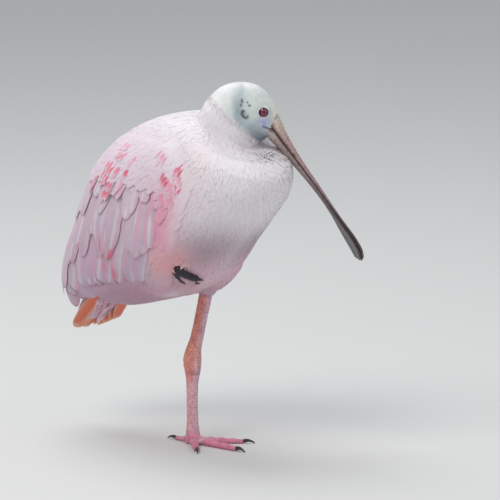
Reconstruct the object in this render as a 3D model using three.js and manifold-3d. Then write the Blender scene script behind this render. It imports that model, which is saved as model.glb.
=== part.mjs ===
// Roseate spoonbill at rest on one leg, life size.
// Millimetres, +Z up. The bird faces +X, its left side is +Y, and the origin is the centre
// of the standing foot's sole.

import * as THREE from "three";
import Module from "manifold-3d";

const wasm = await Module();
wasm.setup();

// Driving dimensions

const clearance = 0.3;
const fineness = 0.04; // the shortest detail that a solid keeps
const neckAxisX = 56; // the upright line about which the head is turned
const headYaw = 50; // degrees, to the bird's left
const billPitch = 60.8; // degrees below level
const billRoll = -7.5; // degrees about its own length
const billLength = 175;
const spoonWidth = 50;
const wingDepth = 10.5; // how deep a folded wing lies in the plumage
const eyeBall = 6.6;
const hipPlace = [14, 28, 205];
const tibiaTop = [-4, 23, 154];
const ankle = [-13, 12, 82];
const soleRadius = 8;
const middleToe = 74;

// Sections of the plumage with the wings folded, from the wing tips to the foreneck:
// back x, back z, front x, front z, half width

const mantleSections = [
  [-175, 122, -142, 110, 18],
  [-174, 150, -114, 126, 35],
  [-162, 184, -84, 133, 51],
  [-145, 216, -55, 140, 63],
  [-125, 253, -25, 148, 72],
  [-104, 288, 5, 158, 80],
  [-73, 317, 34, 176, 80],
  [-38, 334, 57, 203, 76],
  [-5, 342, 79, 227, 71],
  [20, 345, 99, 248, 64],
  [42, 336, 112, 266, 54],
  [58, 321, 116, 284, 42],
  [72, 311, 104, 299, 27],
];
const torsoRear = 2.1; // the section where the rump ends

// Sections of the upper neck and the head, in the head's plane, measured from the neck's axis:
// back x, back z, front x, front z, half width, turn in degrees

const neckSections = [
  [-30, 268, 44, 258, 36, 0],
  [-36, 298, 50, 286, 34, 8],
  [-38, 326, 40, 302, 29, 22],
  [-33, 348, 16, 308, 24, 38],
  [-14, 358, 4, 320, 15, headYaw],
];
const headSections = [
  [-29, 346, 8, 309, 20],
  [-23, 362, 4, 311, 21.5],
  [-11, 374, 4, 311, 22],
  [6, 379, 11, 311, 22],
  [23, 377, 19, 313, 20.4],
  [35, 369, 27, 316, 17.2],
  [43, 358, 33, 320, 13.8],
  [46.5, 349, 37, 323, 11],
];

// Solids

function radians(degrees) {
  return THREE.MathUtils.degToRad(degrees);
}

function signedPower(value, exponent) {
  return Math.sign(value) * Math.abs(value) ** exponent;
}

function fade(from, to, value) {
  return THREE.MathUtils.smoothstep(value, from, to);
}

function mix(a, b, t) {
  return a + (b - a) * t;
}

// A seeded draw between -1 and 1
function makeDraw(seed) {
  let state = seed;
  return () => {
    state = (state * 16807) % 2147483647;
    return (state / 2147483647) * 2 - 1;
  };
}

function turnAboutNeck(place, degrees) {
  const angle = radians(degrees);
  const reach = place.x;
  const side = place.y;
  return new THREE.Vector3(
    neckAxisX + reach * Math.cos(angle) - side * Math.sin(angle),
    reach * Math.sin(angle) + side * Math.cos(angle),
    place.z,
  );
}

// Rings of equal count joined into one closed surface, with a fan over each end
function loft(rings, tips = {}) {
  const around = rings[0].length;
  const points = rings.flat();
  const triangles = [];
  for (let i = 0; i < rings.length - 1; i += 1) {
    for (let j = 0; j < around; j += 1) {
      const a = i * around + j;
      const b = i * around + ((j + 1) % around);
      triangles.push(a, b, a + around, b, b + around, a + around);
    }
  }
  const cap = (first, centre, flip) => {
    const middle = points.length;
    points.push(centre);
    for (let j = 0; j < around; j += 1) {
      const a = first + j;
      const b = first + ((j + 1) % around);
      triangles.push(middle, flip ? a : b, flip ? b : a);
    }
  };
  const centreOf = (ring) => {
    const sum = new THREE.Vector3();
    ring.forEach((point) => sum.add(point));
    return sum.multiplyScalar(1 / ring.length);
  };
  cap(0, tips.start ?? centreOf(rings[0]), false);
  cap((rings.length - 1) * around, tips.end ?? centreOf(rings.at(-1)), true);
  return solidOf(points, triangles);
}

// Rings of two rows of points, one over the other, joined with both faces split alike
function loftSheet(rings) {
  const around = rings[0].length;
  const half = around / 2;
  const points = rings.flat();
  const triangles = [];
  for (let i = 0; i < rings.length - 1; i += 1) {
    for (let j = 0; j < around; j += 1) {
      const a = i * around + j;
      const b = i * around + ((j + 1) % around);
      const c = a + around;
      const d = b + around;
      triangles.push(...(j < half ? [a, b, c, b, d, c] : [a, b, d, a, d, c]));
    }
  }
  const cap = (first, flip) => {
    for (let j = 0; j < half - 1; j += 1) {
      const a = first + j;
      const d = first + around - 1 - j;
      const quad = [a, a + 1, d, a + 1, d - 1, d];
      triangles.push(...(flip ? quad.reverse() : quad));
    }
  };
  cap(0, true);
  cap((rings.length - 1) * around, false);
  return solidOf(points, triangles);
}

function solidOf(points, triangles) {
  const a = new THREE.Vector3();
  const b = new THREE.Vector3();
  let volume = 0;
  for (let i = 0; i < triangles.length; i += 3) {
    a.copy(points[triangles[i]]);
    b.copy(points[triangles[i + 1]]);
    volume += a.dot(b.cross(points[triangles[i + 2]]));
  }
  const order = volume < 0 ? [0, 2, 1] : [0, 1, 2];
  const triVerts = new Uint32Array(triangles.length);
  for (let i = 0; i < triangles.length; i += 3) {
    order.forEach((corner, k) => {
      triVerts[i + k] = triangles[i + corner];
    });
  }
  const vertProperties = new Float32Array(points.flatMap((point) => point.toArray()));
  return new wasm.Manifold(new wasm.Mesh({ numProp: 3, vertProperties, triVerts }));
}

function join(solids) {
  return solids.reduce((whole, solid) => whole.add(solid));
}

function cutBy(solid, others) {
  return others.reduce((rest, other) => rest.subtract(other), solid);
}

// The largest closed piece, with edges too short to matter drawn together
function largest(solid) {
  const whole = solid.decompose().reduce((best, piece) => (piece.volume() > best.volume() ? piece : best));
  return whole.simplify(fineness);
}

function toGeometry(solid) {
  const mesh = solid.getMesh();
  const geometry = new THREE.BufferGeometry();
  geometry.setAttribute("position", new THREE.BufferAttribute(new Float32Array(mesh.vertProperties), 3));
  geometry.setIndex(new THREE.BufferAttribute(new Uint32Array(mesh.triVerts), 1));
  return geometry;
}

// A form is a row of oval sections from a back line to a front line
class Form {
  constructor(sections, squareness, turned) {
    const curve = (pick) => new THREE.SplineCurve(sections.map(pick));
    this.last = sections.length - 1;
    this.squareness = squareness;
    this.turned = turned;
    this.back = curve(([x, z]) => new THREE.Vector2(x, z));
    this.front = curve((row) => new THREE.Vector2(row[2], row[3]));
    this.side = curve((row) => new THREE.Vector2(row[4], row[5] ?? headYaw));
  }

  // Angle 0 is the back, 90 degrees the bird's left side and 180 the front
  point(section, angle, inset = 0) {
    const t = THREE.MathUtils.clamp(section / this.last, 0, 1);
    const back = this.back.getPoint(t);
    const front = this.front.getPoint(t);
    const { x: halfWidth, y: yaw } = this.side.getPoint(t);
    const half = back.clone().sub(front).multiplyScalar(0.5);
    const middle = back.add(front).multiplyScalar(0.5);
    const depth = half.length();
    const up = (signedPower(Math.cos(angle), this.squareness) * (depth - inset)) / depth;
    const across = signedPower(Math.sin(angle), this.squareness) * (halfWidth - inset);
    const place = new THREE.Vector3(middle.x + half.x * up, across, middle.y + half.y * up);
    return this.turned ? turnAboutNeck(place, yaw) : place;
  }

  normal(section, angle) {
    const step = 0.02;
    const along = this.point(section + step, angle).sub(this.point(section - step, angle));
    const round = this.point(section, angle + step).sub(this.point(section, angle - step));
    return along.cross(round).normalize();
  }

  // How far out the surface lies beside a place in the middle plane
  reachAt(x, z) {
    let low = 0;
    let high = this.last;
    let place = 0;
    let halfWidth = 0;
    for (let i = 0; i < 20; i += 1) {
      const section = (low + high) / 2;
      const t = section / this.last;
      const back = this.back.getPoint(t);
      const front = this.front.getPoint(t);
      const chord = front.clone().sub(back);
      const offset = new THREE.Vector2(x, z).sub(back);
      const ahead = chord.x * offset.y - chord.y * offset.x > 0;
      low = ahead ? section : low;
      high = ahead ? high : section;
      place = 1 - (2 * offset.dot(chord)) / chord.lengthSq();
      halfWidth = this.side.getPoint(t).x;
    }
    const cosine = Math.min(1, Math.abs(place) ** (1 / this.squareness));
    return halfWidth * Math.sqrt(1 - cosine * cosine) ** this.squareness;
  }

  solid(from, to, rows, around, inset) {
    const rings = [];
    for (let i = 0; i <= rows; i += 1) {
      const section = mix(from, to, i / rows);
      const ring = [];
      for (let j = 0; j < around; j += 1) {
        const angle = (2 * Math.PI * j) / around;
        ring.push(this.point(section, angle, inset(section, angle)));
      }
      rings.push(ring);
    }
    return loft(rings);
  }
}

// A round-sectioned limb through centres, each [x, y, z, half width, half depth]
function limb(stops, around, { rows = 3, up = new THREE.Vector3(1, 0, 0), floor = -Infinity } = {}) {
  const path = new THREE.CatmullRomCurve3(stops.map(([x, y, z]) => new THREE.Vector3(x, y, z)), false, "centripetal");
  const size = new THREE.SplineCurve(stops.map((stop) => new THREE.Vector2(stop[3], stop[4] ?? stop[3])));
  const count = (stops.length - 1) * rows;
  const rings = [];
  for (let i = 0; i <= count; i += 1) {
    const t = i / count;
    const centre = path.getPoint(t);
    const tangent = path.getTangent(t);
    const side = new THREE.Vector3().crossVectors(up, tangent).normalize();
    const front = new THREE.Vector3().crossVectors(tangent, side);
    const { x: wide, y: deep } = size.getPoint(t);
    const ring = [];
    for (let j = 0; j < around; j += 1) {
      const angle = (2 * Math.PI * (j + 0.5)) / around;
      const point = centre.clone();
      point.addScaledVector(side, wide * Math.cos(angle));
      point.addScaledVector(front, deep * Math.sin(angle));
      point.z = Math.max(point.z, floor);
      ring.push(point);
    }
    rings.push(ring);
  }
  return loft(rings);
}

function ball(centre, radii, around = 16, rows = 10, placed = (point) => point) {
  const rings = [];
  for (let i = 1; i < rows; i += 1) {
    const height = (Math.PI * i) / rows;
    const ring = [];
    for (let j = 0; j < around; j += 1) {
      const angle = (2 * Math.PI * j) / around;
      const out = new THREE.Vector3().setFromSphericalCoords(1, height, angle);
      ring.push(placed(new THREE.Vector3(out.z, out.x, out.y).multiply(radii).add(centre)));
    }
    rings.push(ring);
  }
  const pole = new THREE.Vector3(0, 0, radii.z);
  return loft(rings, { start: placed(centre.clone().add(pole)), end: placed(centre.clone().sub(pole)) });
}

// Feathers

const vaneSteps = [0, 0.35, 0.72, 0.92, 1];
const vaneThickness = 0.9;

// Half width along a vane, from its root to its rounded tip
function vaneOutline(t) {
  const spread = mix(0.45, 1, fade(0, 0.45, t));
  const tip = 0.7;
  const rounding = t > tip ? Math.sqrt(Math.max(0, 1 - ((t - tip) / (1.04 - tip)) ** 2)) : 1;
  return spread * rounding;
}

// A thin vane: follow(t) gives its place, its outward normal and its direction
function vane(follow, width, roll) {
  const rings = vaneSteps.map((t) => {
    const { place, normal, direction } = follow(t);
    const side = new THREE.Vector3().crossVectors(normal, direction).normalize();
    side.applyAxisAngle(direction, radians(roll));
    const up = new THREE.Vector3().crossVectors(direction, side).normalize();
    const half = (width / 2) * vaneOutline(t);
    const thick = vaneThickness * mix(1, 0.6, t);
    const corner = (across, height) => place.clone().addScaledVector(side, across).addScaledVector(up, height);
    return [corner(-half, 0), corner(half, 0), corner(half, -thick), corner(-half, -thick)];
  });
  return loftSheet(rings);
}

const mantle = new Form(mantleSections, 0.88, false);

// A vane that lies on the folded plumage between two places, each [section, degrees]
function mantleVane(side, root, tip, { width, depthRoot, depthTip }) {
  const at = (t) => {
    const section = mix(root[0], tip[0], t);
    const angle = radians(mix(root[1], tip[1], t)) * side;
    const depth = mix(depthRoot, depthTip, t);
    const normal = mantle.normal(section, angle);
    return { normal, place: mantle.point(section, angle).addScaledVector(normal, -depth) };
  };
  const follow = (t) => {
    const { place, normal } = at(t);
    const direction = at(t + 0.02).place.sub(at(t - 0.02).place).normalize();
    return { place, normal, direction };
  };
  return vane(follow, width, vaneRoll * side);
}

// Wings

const wingFront = 9.1;
const wingRear = 2.6;
const coreDepth = { arm: 0.6, rear: 6, border: 3.5 };

// The section at which the forearm lies, at an angle round the plumage
function armSection(degrees) {
  return mix(5.2, 8.3, fade(30, 112, degrees));
}

function wingTop(section) {
  return mix(6, 62, fade(4.2, 9, section));
}

// The lower edge of the fleshy part of the wing
function armBottom(section) {
  return 112 - 6 * Math.abs(section - 6);
}

// The lower edge of the long feathers
function wingBottom(section) {
  return section > 5 ? 146 - 14.5 * (section - 5) : 146 - 8 * (5 - section);
}

// How much of the wing's depth is let into the torso at a place
function wingCover(section, angle) {
  const degrees = Math.abs(THREE.MathUtils.radToDeg(angle > Math.PI ? angle - 2 * Math.PI : angle));
  const top = fade(wingTop(section) - 12, wingTop(section) + 10, degrees);
  const bottom = 1 - fade(wingBottom(section) - 4, wingBottom(section) + 18, degrees);
  const front = 1 - fade(wingFront - 1.6, wingFront + 0.4, section);
  return top * bottom * front;
}

// The flesh and small coverts of the folded wing, sunk through the torso's surface
function wingCore(side) {
  const rows = 11;
  const across = 8;
  const outer = [];
  const inner = [];
  for (let i = 0; i <= rows; i += 1) {
    const section = mix(wingRear, wingFront, i / rows);
    const outerRow = [];
    const innerRow = [];
    for (let j = 0; j <= across; j += 1) {
      const degrees = mix(wingTop(section), armBottom(section), j / across);
      const edge = Math.min(i / rows, 1 - i / rows, j / across, 1 - j / across);
      const past = armSection(degrees) - section;
      const sink = mix(coreDepth.arm, coreDepth.rear, fade(-0.2, 1.9, past));
      const inset = mix(coreDepth.border, sink, fade(0, 0.2, edge));
      outerRow.push(mantle.point(section, radians(degrees) * side, inset));
      innerRow.push(mantle.point(section, radians(degrees) * side, wingDepth + 5));
    }
    outer.push(outerRow);
    inner.push(innerRow);
  }
  const rings = [];
  for (let i = 0; i <= rows; i += 1) {
    rings.push([...outer[i], ...inner[i].reverse()]);
  }
  return loftSheet(rings);
}

// The tiers of a wing. Each goes from the wrist to the elbow, its roots and tips in
// [section, degrees] on the folded plumage.
const wingTiers = {
  primaries: {
    count: 4,
    roots: [[4.6, 104], [4.2, 74]],
    tips: [[1.7, 118], [0.2, 76]],
    shape: { width: 22, depthRoot: 9, depthTip: 5.5 },
  },
  secondaries: {
    count: 9,
    roots: [[8.2, 92], [5.1, 42]],
    tips: [[4.9, 146], [1.1, 86]],
    shape: { width: 21, depthRoot: 7.2, depthTip: 2.6 },
  },
  tertials: {
    count: 3,
    roots: [[5.2, 34], [4.9, 13]],
    tips: [[0.9, 58], [1.2, 11]],
    shape: { width: 27, depthRoot: 4.2, depthTip: 0.2 },
  },
  greaterCoverts: {
    count: 9,
    roots: [[8.2, 92], [5.1, 42]],
    tips: [[6.5, 120], [3.0, 66]],
    shape: { width: 19, depthRoot: 5, depthTip: 2.2 },
  },
  medianCoverts: {
    count: 8,
    roots: [[8.5, 86], [5.5, 38]],
    tips: [[7.5, 105], [4.4, 54]],
    shape: { width: 20, depthRoot: 3, depthTip: 0.9 },
  },
};
const vaneRoll = -11; // each vane dips under the next one towards the wing's rear edge
const tipSpread = { sections: 0.16, degrees: 1 };

function tierVanes(side, tier, draw) {
  const vanes = [];
  for (let i = 0; i < tier.count; i += 1) {
    const k = i / (tier.count - 1);
    const root = [0, 1].map((axis) => mix(tier.roots[0][axis], tier.roots[1][axis], k));
    const tip = [0, 1].map((axis) => mix(tier.tips[0][axis], tier.tips[1][axis], k));
    tip[0] += tipSpread.sections * draw();
    tip[1] += tipSpread.degrees * draw();
    vanes.push(mantleVane(side, root, tip, tier.shape));
  }
  return vanes;
}

function wing(side, draw, neighbours) {
  const tiers = Object.values(wingTiers).flatMap((tier) => tierVanes(side, tier, draw));
  const whole = join([wingCore(side), ...tiers]);
  const half = whole.trimByPlane([0, side, 0], clearance / 2);
  return largest(cutBy(half, neighbours));
}

// Torso, neck and head, each a little larger all over when asked

const neckForm = new Form(neckSections, 0.95, true);
const headForm = new Form(headSections, 0.93, true);

// With no pockets it is the whole plumage, wings and all
function torsoForm(grow, pocket = wingDepth) {
  return mantle.solid(torsoRear, mantleSections.length - 1, 24, 32, (section, angle) => (
    pocket * wingCover(section, angle) - grow
  ));
}

function neckTube(grow) {
  return neckForm.solid(0, neckSections.length - 1, 14, 24, () => -grow);
}

function skull(grow) {
  const nape = grow > 0 ? 0 : 0.04;
  return headForm.solid(nape, headSections.length - 1, 18, 26, () => -grow);
}

// A cut through two points of the side view, kept on one side of its gap
function cut(from, to, yaw) {
  const start = turnAboutNeck(new THREE.Vector3(from[0], 0, from[1]), yaw);
  const end = turnAboutNeck(new THREE.Vector3(to[0], 0, to[1]), yaw);
  const across = turnAboutNeck(new THREE.Vector3(0, 1, 0), yaw).sub(turnAboutNeck(new THREE.Vector3(), yaw));
  const normal = end.clone().sub(start).cross(across).normalize().negate();
  if (normal.z < 0) {
    normal.negate();
  }
  const offset = normal.dot(start);
  return {
    above: (solid) => solid.trimByPlane(normal.toArray(), offset + clearance / 2),
    below: (solid) => solid.trimByPlane(normal.clone().negate().toArray(), -offset + clearance / 2),
  };
}

const neckCut = cut([-38, 340], [56, 262], 0);

// Bill

// Along the bill from its root: place, culmen, gape, lower edge and half width, in the bill's frame
const billSections = [
  [-10, 0, -15.5, -25, 11],
  [0, 0, -14.6, -23.5, 11.5],
  [12, -1.6, -13, -21.5, 11],
  [25, -2.5, -11.4, -18.8, 9.8],
  [50, -2.3, -7.9, -13.2, 7.6],
  [75, -0.4, -4.5, -8.4, 6.8],
  [98, 1.4, -1.6, -4.8, 7.6],
  [116, 2.4, -0.4, -3.2, 11.5],
  [132, 3.2, 0.4, -2.2, 19],
  [146, 4.2, 1.2, -1.6, spoonWidth / 2],
  [160, 4.4, 1.2, -1.7, 23.5],
  [170, 3, -0.2, -2.6, 14],
];
const billRootHeight = 346;
const billRootReach = 46.8;

function billPlace(point) {
  const roll = new THREE.Vector3(1, 0, 0);
  const placed = point.clone().applyAxisAngle(roll, radians(billRoll));
  placed.applyAxisAngle(new THREE.Vector3(0, 1, 0), radians(billPitch));
  placed.x += billRootReach;
  placed.z += billRootHeight;
  return turnAboutNeck(placed, headYaw);
}

function mandible(upper, grow) {
  const at = (column) => new THREE.SplineCurve(billSections.map((row) => new THREE.Vector2(row[0], row[column])));
  const culmen = at(1);
  const gape = at(2);
  const edge = at(3);
  const width = at(4);
  const rows = 22;
  const around = 8;
  const rings = [];
  for (let i = 0; i <= rows; i += 1) {
    const t = i / rows;
    const line = gape.getPoint(t);
    const half = width.getPoint(t).y * (upper ? 1 : 0.95) + grow;
    const far = upper ? culmen.getPoint(t).y + grow : edge.getPoint(t).y - grow;
    const near = line.y + (upper ? clearance / 2 - grow : grow - clearance / 2);
    const ring = [];
    for (let j = 0; j <= around; j += 1) {
      const angle = (Math.PI * j) / around;
      const rim = 0.32;
      const height = rim + (1 - rim) * Math.sin(angle) ** 0.8;
      const reach = signedPower(Math.cos(angle), 0.7);
      ring.push(billPlace(new THREE.Vector3(line.x, half * reach, mix(near, far, height))));
    }
    const floor = [0.55, 0, -0.55];
    floor.forEach((across) => ring.push(billPlace(new THREE.Vector3(line.x, -half * across, near))));
    rings.push(ring);
  }
  const end = gape.getPoint(1);
  const tip = billPlace(new THREE.Vector3(upper ? billLength : billLength - 2, 0, end.y + (upper ? 0.4 : -1)));
  return loft(rings, { end: tip });
}

// Eyes, lids, ears, nostrils and the corners of the mouth, in the head's plane

const eyePlace = [32.4, 12.2, 352];
const lidThickness = 1.1;
const lidOpening = [5.7, 4.6, 5.2];
const earPlace = [11.9, 350.8];
const earSize = [2.5, 2.4, 3.4];
const mouthCorner = [[42, 331], [37, 333.6], [31.3, 337]];
const nostril = { from: 8, to: 19, aside: 3.6, height: -1.3, radius: 0.8 };

function inHead(point) {
  return turnAboutNeck(point, headYaw);
}

function headBall(side, place, radii, around, rows) {
  const centre = new THREE.Vector3(place[0], side * place[1], place[2]);
  return ball(centre, new THREE.Vector3(...radii), around, rows, inHead);
}

function eye(side, grow) {
  return headBall(side, eyePlace, Array(3).fill(eyeBall + grow), 14, 8);
}

function lids(side) {
  const shell = headBall(side, eyePlace, Array(3).fill(eyeBall + lidThickness), 14, 8);
  const [x, y, z] = eyePlace;
  return shell.subtract(headBall(side, [x + 0.6, y + eyeBall + lidThickness, z], lidOpening, 12, 6));
}

function ear(side) {
  return headBall(side, [earPlace[0], headForm.reachAt(...earPlace) + 0.6, earPlace[1]], earSize, 8, 5);
}

function mouthLine(side) {
  const stops = mouthCorner.map(([x, z], i) => {
    const place = inHead(new THREE.Vector3(x, side * (headForm.reachAt(x, z) + 0.1), z));
    return [...place.toArray(), mix(0.9, 0.6, i / (mouthCorner.length - 1))];
  });
  return limb(stops, 6, { rows: 1, up: new THREE.Vector3(0, 0, 1) });
}

function nostrilSlit(side) {
  const stops = [nostril.from, (nostril.from + nostril.to) / 2, nostril.to].map((reach) => {
    const place = billPlace(new THREE.Vector3(reach, side * nostril.aside, nostril.height));
    return [...place.toArray(), nostril.radius];
  });
  return limb(stops, 6, { rows: 1, up: new THREE.Vector3(0, 0, 1) });
}

// Legs

function standingLeg() {
  return limb([
    [...tibiaTop.slice(0, 2), tibiaTop[2] + 14, 7.5],
    [...tibiaTop, 7],
    [-7, 19, 128, 6.6],
    [-10.5, 15.5, 104, 6.8],
    [ankle[0] + 0.5, ankle[1] + 1, ankle[2] + 10, 8.2],
    [...ankle, 9.6],
    [ankle[0] + 1.5, ankle[1] - 1, ankle[2] - 10, 8.2],
    [-10, 9, 60, 6.2],
    [-6.5, 5.5, 38, 5.8],
    [-2.5, 2, 18, 6.2],
    [-0.5, 0.5, 7, 8],
    [0, 0, 2, 8],
  ], 12, { rows: 2, floor: 0 });
}

function thigh(grow) {
  return limb([
    [...hipPlace, 28 + grow, 32 + grow],
    [9, 27, 186, 20 + grow, 23 + grow],
    [2, 25, 170, 14 + grow, 16 + grow],
    [-3, 23.5, 159, 10 + grow, 10.5 + grow],
    [-4, 23, 153, 8 + grow, 8 + grow],
  ], 20, { rows: 3 });
}

// Room for the top of the leg inside the thigh
function legSocket() {
  return limb([
    [...tibiaTop.slice(0, 2), tibiaTop[2] + 16, 7.9],
    [...tibiaTop, 7.4],
    [-7, 19, 128, 7],
  ], 14, { rows: 2 });
}

// Toes of the standing foot: heading in degrees, length, half width
const toes = [
  { heading: 1, length: middleToe, half: 4.6, joints: 3 },
  { heading: -40, length: middleToe * 0.78, half: 4.3, joints: 2 },
  { heading: 42, length: middleToe * 0.86, half: 4.2, joints: 4 },
  { heading: 180, length: middleToe * 0.5, half: 3.8, joints: 1 },
];
const clawLength = 11;

function toe({ heading, length, half, joints }) {
  const angle = radians(heading);
  const fleshy = length - clawLength;
  const stops = [];
  const pads = joints * 2 + 1;
  for (let i = 0; i <= pads; i += 1) {
    const t = i / pads;
    const reach = fleshy * t;
    const knuckle = i % 2 ? 1.08 : 0.9;
    const size = mix(half * 1.15, half * 0.72, t) * knuckle;
    stops.push([reach * Math.cos(angle), reach * Math.sin(angle), size * 0.72, size, size * 0.86]);
  }
  return limb(stops, 8, { rows: 1, up: new THREE.Vector3(0, 0, 1), floor: 0 });
}

function claw({ heading, length, half }, grow = 0) {
  const angle = radians(heading);
  const start = length - clawLength - 1.5;
  const stops = [];
  const steps = 5;
  for (let i = 0; i < steps; i += 1) {
    const t = i / (steps - 1);
    const reach = start + (clawLength + 1.5) * t;
    const size = mix(half * 0.52, 0.5, t) + grow;
    const height = mix(half * 0.62, 0.6, t ** 1.4) + half * 0.35 * Math.sin(Math.PI * t);
    stops.push([reach * Math.cos(angle), reach * Math.sin(angle), height, size, size * 1.15]);
  }
  return limb(stops, 8, { rows: 1, up: new THREE.Vector3(0, 0, 1), floor: 0 });
}

// The small webs between the roots of the front toes, in shares of the toes' length
const webShape = { edge: 0.36, notch: 0.112, bottom: 0.6, top: 2.6 };

function web(first, second) {
  const corner = (toeOf, share) => {
    const angle = radians(toeOf.heading);
    const reach = toeOf.length * share;
    return [reach * Math.cos(angle), reach * Math.sin(angle)];
  };
  const [nearFirst, nearSecond] = [corner(first, webShape.notch), corner(second, webShape.notch)];
  const notch = nearFirst.map((value, axis) => value + nearSecond[axis]);
  const outline = [[0, 0], corner(first, webShape.edge), notch, corner(second, webShape.edge)];
  const ring = (height) => outline.map(([x, y]) => new THREE.Vector3(x, y, height));
  return loft([ring(webShape.bottom), ring(webShape.top)]);
}

function standingFoot() {
  const sole = limb([[0, 0, 0, soleRadius], [0, 0, 4, soleRadius], [-0.5, 0.5, 9, 7.4], [-1, 1, 12.6, 6.6]], 14, { rows: 1 });
  const webs = [web(toes[0], toes[1]), web(toes[2], toes[0])];
  return join([sole, ...toes.map(toe), ...webs]);
}

// The folded leg shows only its toes. Each runs over the belly between two places on the
// plumage, [section, degrees].
const tuckedToes = [
  { from: [6.15, 146], to: [6.05, 164], half: 3.5 },
  { from: [5.95, 147], to: [5.86, 164], half: 3.4 },
  { from: [5.98, 146], to: [5.76, 156], half: 3 },
];

function tuckedStops({ from, to, half }, start, end, sizes) {
  const steps = 5;
  const stops = [];
  for (let i = 0; i <= steps; i += 1) {
    const t = mix(start, end, i / steps);
    const angle = -radians(mix(from[1], to[1], t));
    const section = mix(from[0], to[0], t);
    const size = half * sizes(i / steps) * (i % 2 ? 1.06 : 0.96);
    const place = mantle.point(section, angle).addScaledVector(mantle.normal(section, angle), half * 0.8);
    stops.push([...place.toArray(), size, size]);
  }
  return stops;
}

function tuckedFoot() {
  const bend = { up: new THREE.Vector3(1, 0, 0), rows: 1 };
  const pieces = tuckedToes.map((row) => limb(tuckedStops(row, 0, 1, (t) => mix(1.1, 0.85, t)), 8, bend));
  const heel = ball(mantle.point(6.05, -radians(145.5)), new THREE.Vector3(8, 5, 6.5), 10, 6);
  return join([heel, ...pieces]);
}

function tuckedClaw(row, grow = 0) {
  const stops = tuckedStops(row, 0.96, 1.26, (t) => mix(0.6, 0.16, t) + grow / row.half);
  return limb(stops, 8, { up: new THREE.Vector3(1, 0, 0), rows: 1 });
}

// Tail

const tailRoot = [-98, 176];
const tailTip = [-157, 105];
const tailFeathers = 12;
const tailShape = {
  vane: 16,
  fan: 13, // degrees to each side
  spread: 12, // half the width at the roots
  step: 1.6, // from one feather down to the next
  droop: 4,
  shortening: 0.1, // of the outer feathers
  arch: 0.12, // radians
  variation: 1.6,
};

function tail(draw, neighbours) {
  const spine = new THREE.Vector3(tailTip[0] - tailRoot[0], 0, tailTip[1] - tailRoot[1]);
  const length = spine.length();
  spine.normalize();
  const outward = new THREE.Vector3(spine.z, 0, -spine.x);
  const vanes = [];
  const middle = tailFeathers / 2;
  for (let i = 0; i < tailFeathers; i += 1) {
    const k = mix(-1, 1, i / (tailFeathers - 1));
    const rank = i <= middle ? middle - i : i - middle + 1; // the middle feather lies on top
    const fan = radians(tailShape.fan * k);
    const direction = new THREE.Vector3().copy(spine).multiplyScalar(Math.cos(fan));
    direction.y += Math.sin(fan);
    direction.normalize();
    const root = new THREE.Vector3(tailRoot[0], tailShape.spread * k, tailRoot[1]);
    root.addScaledVector(outward, -tailShape.step * rank);
    const reach = length * (1 - tailShape.shortening * k * k) + tailShape.variation * draw();
    const normal = outward.clone().applyAxisAngle(spine, tailShape.arch * k);
    const follow = (t) => {
      const place = root.clone().addScaledVector(direction, reach * t);
      return { normal, direction, place: place.addScaledVector(outward, -tailShape.droop * t * t) };
    };
    vanes.push(vane(follow, tailShape.vane, 0));
  }
  const rump = limb([
    [tailRoot[0] + 6, 0, tailRoot[1] - 4, 15, 13],
    [tailRoot[0] - 8, 0, tailRoot[1] - 20, 14, 10],
    [tailRoot[0] - 22, 0, tailRoot[1] - 36, 9, 6],
  ], 14, { up: new THREE.Vector3(0, 1, 0), rows: 2 });
  return largest(cutBy(join([rump, ...vanes]), neighbours));
}

// Materials

function material(color, roughness) {
  return new THREE.MeshStandardMaterial({ color, roughness, metalness: 0 });
}

const whitePlumage = material(0xf0e9ec, 0.9);
const pinkPlumage = material(0xe3a9bd, 0.85);
const tailPlumage = material(0xd9704f, 0.85);
const baldSkin = material(0xc3cfcb, 0.7);
const horn = material(0x8a6f70, 0.55);
const darkHorn = material(0x4a4145, 0.5);
const redSkin = material(0xc9637c, 0.6);
const darkSkin = material(0x3a3336, 0.6);
const iris = material(0x9a2340, 0.15);

// Assembly

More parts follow.
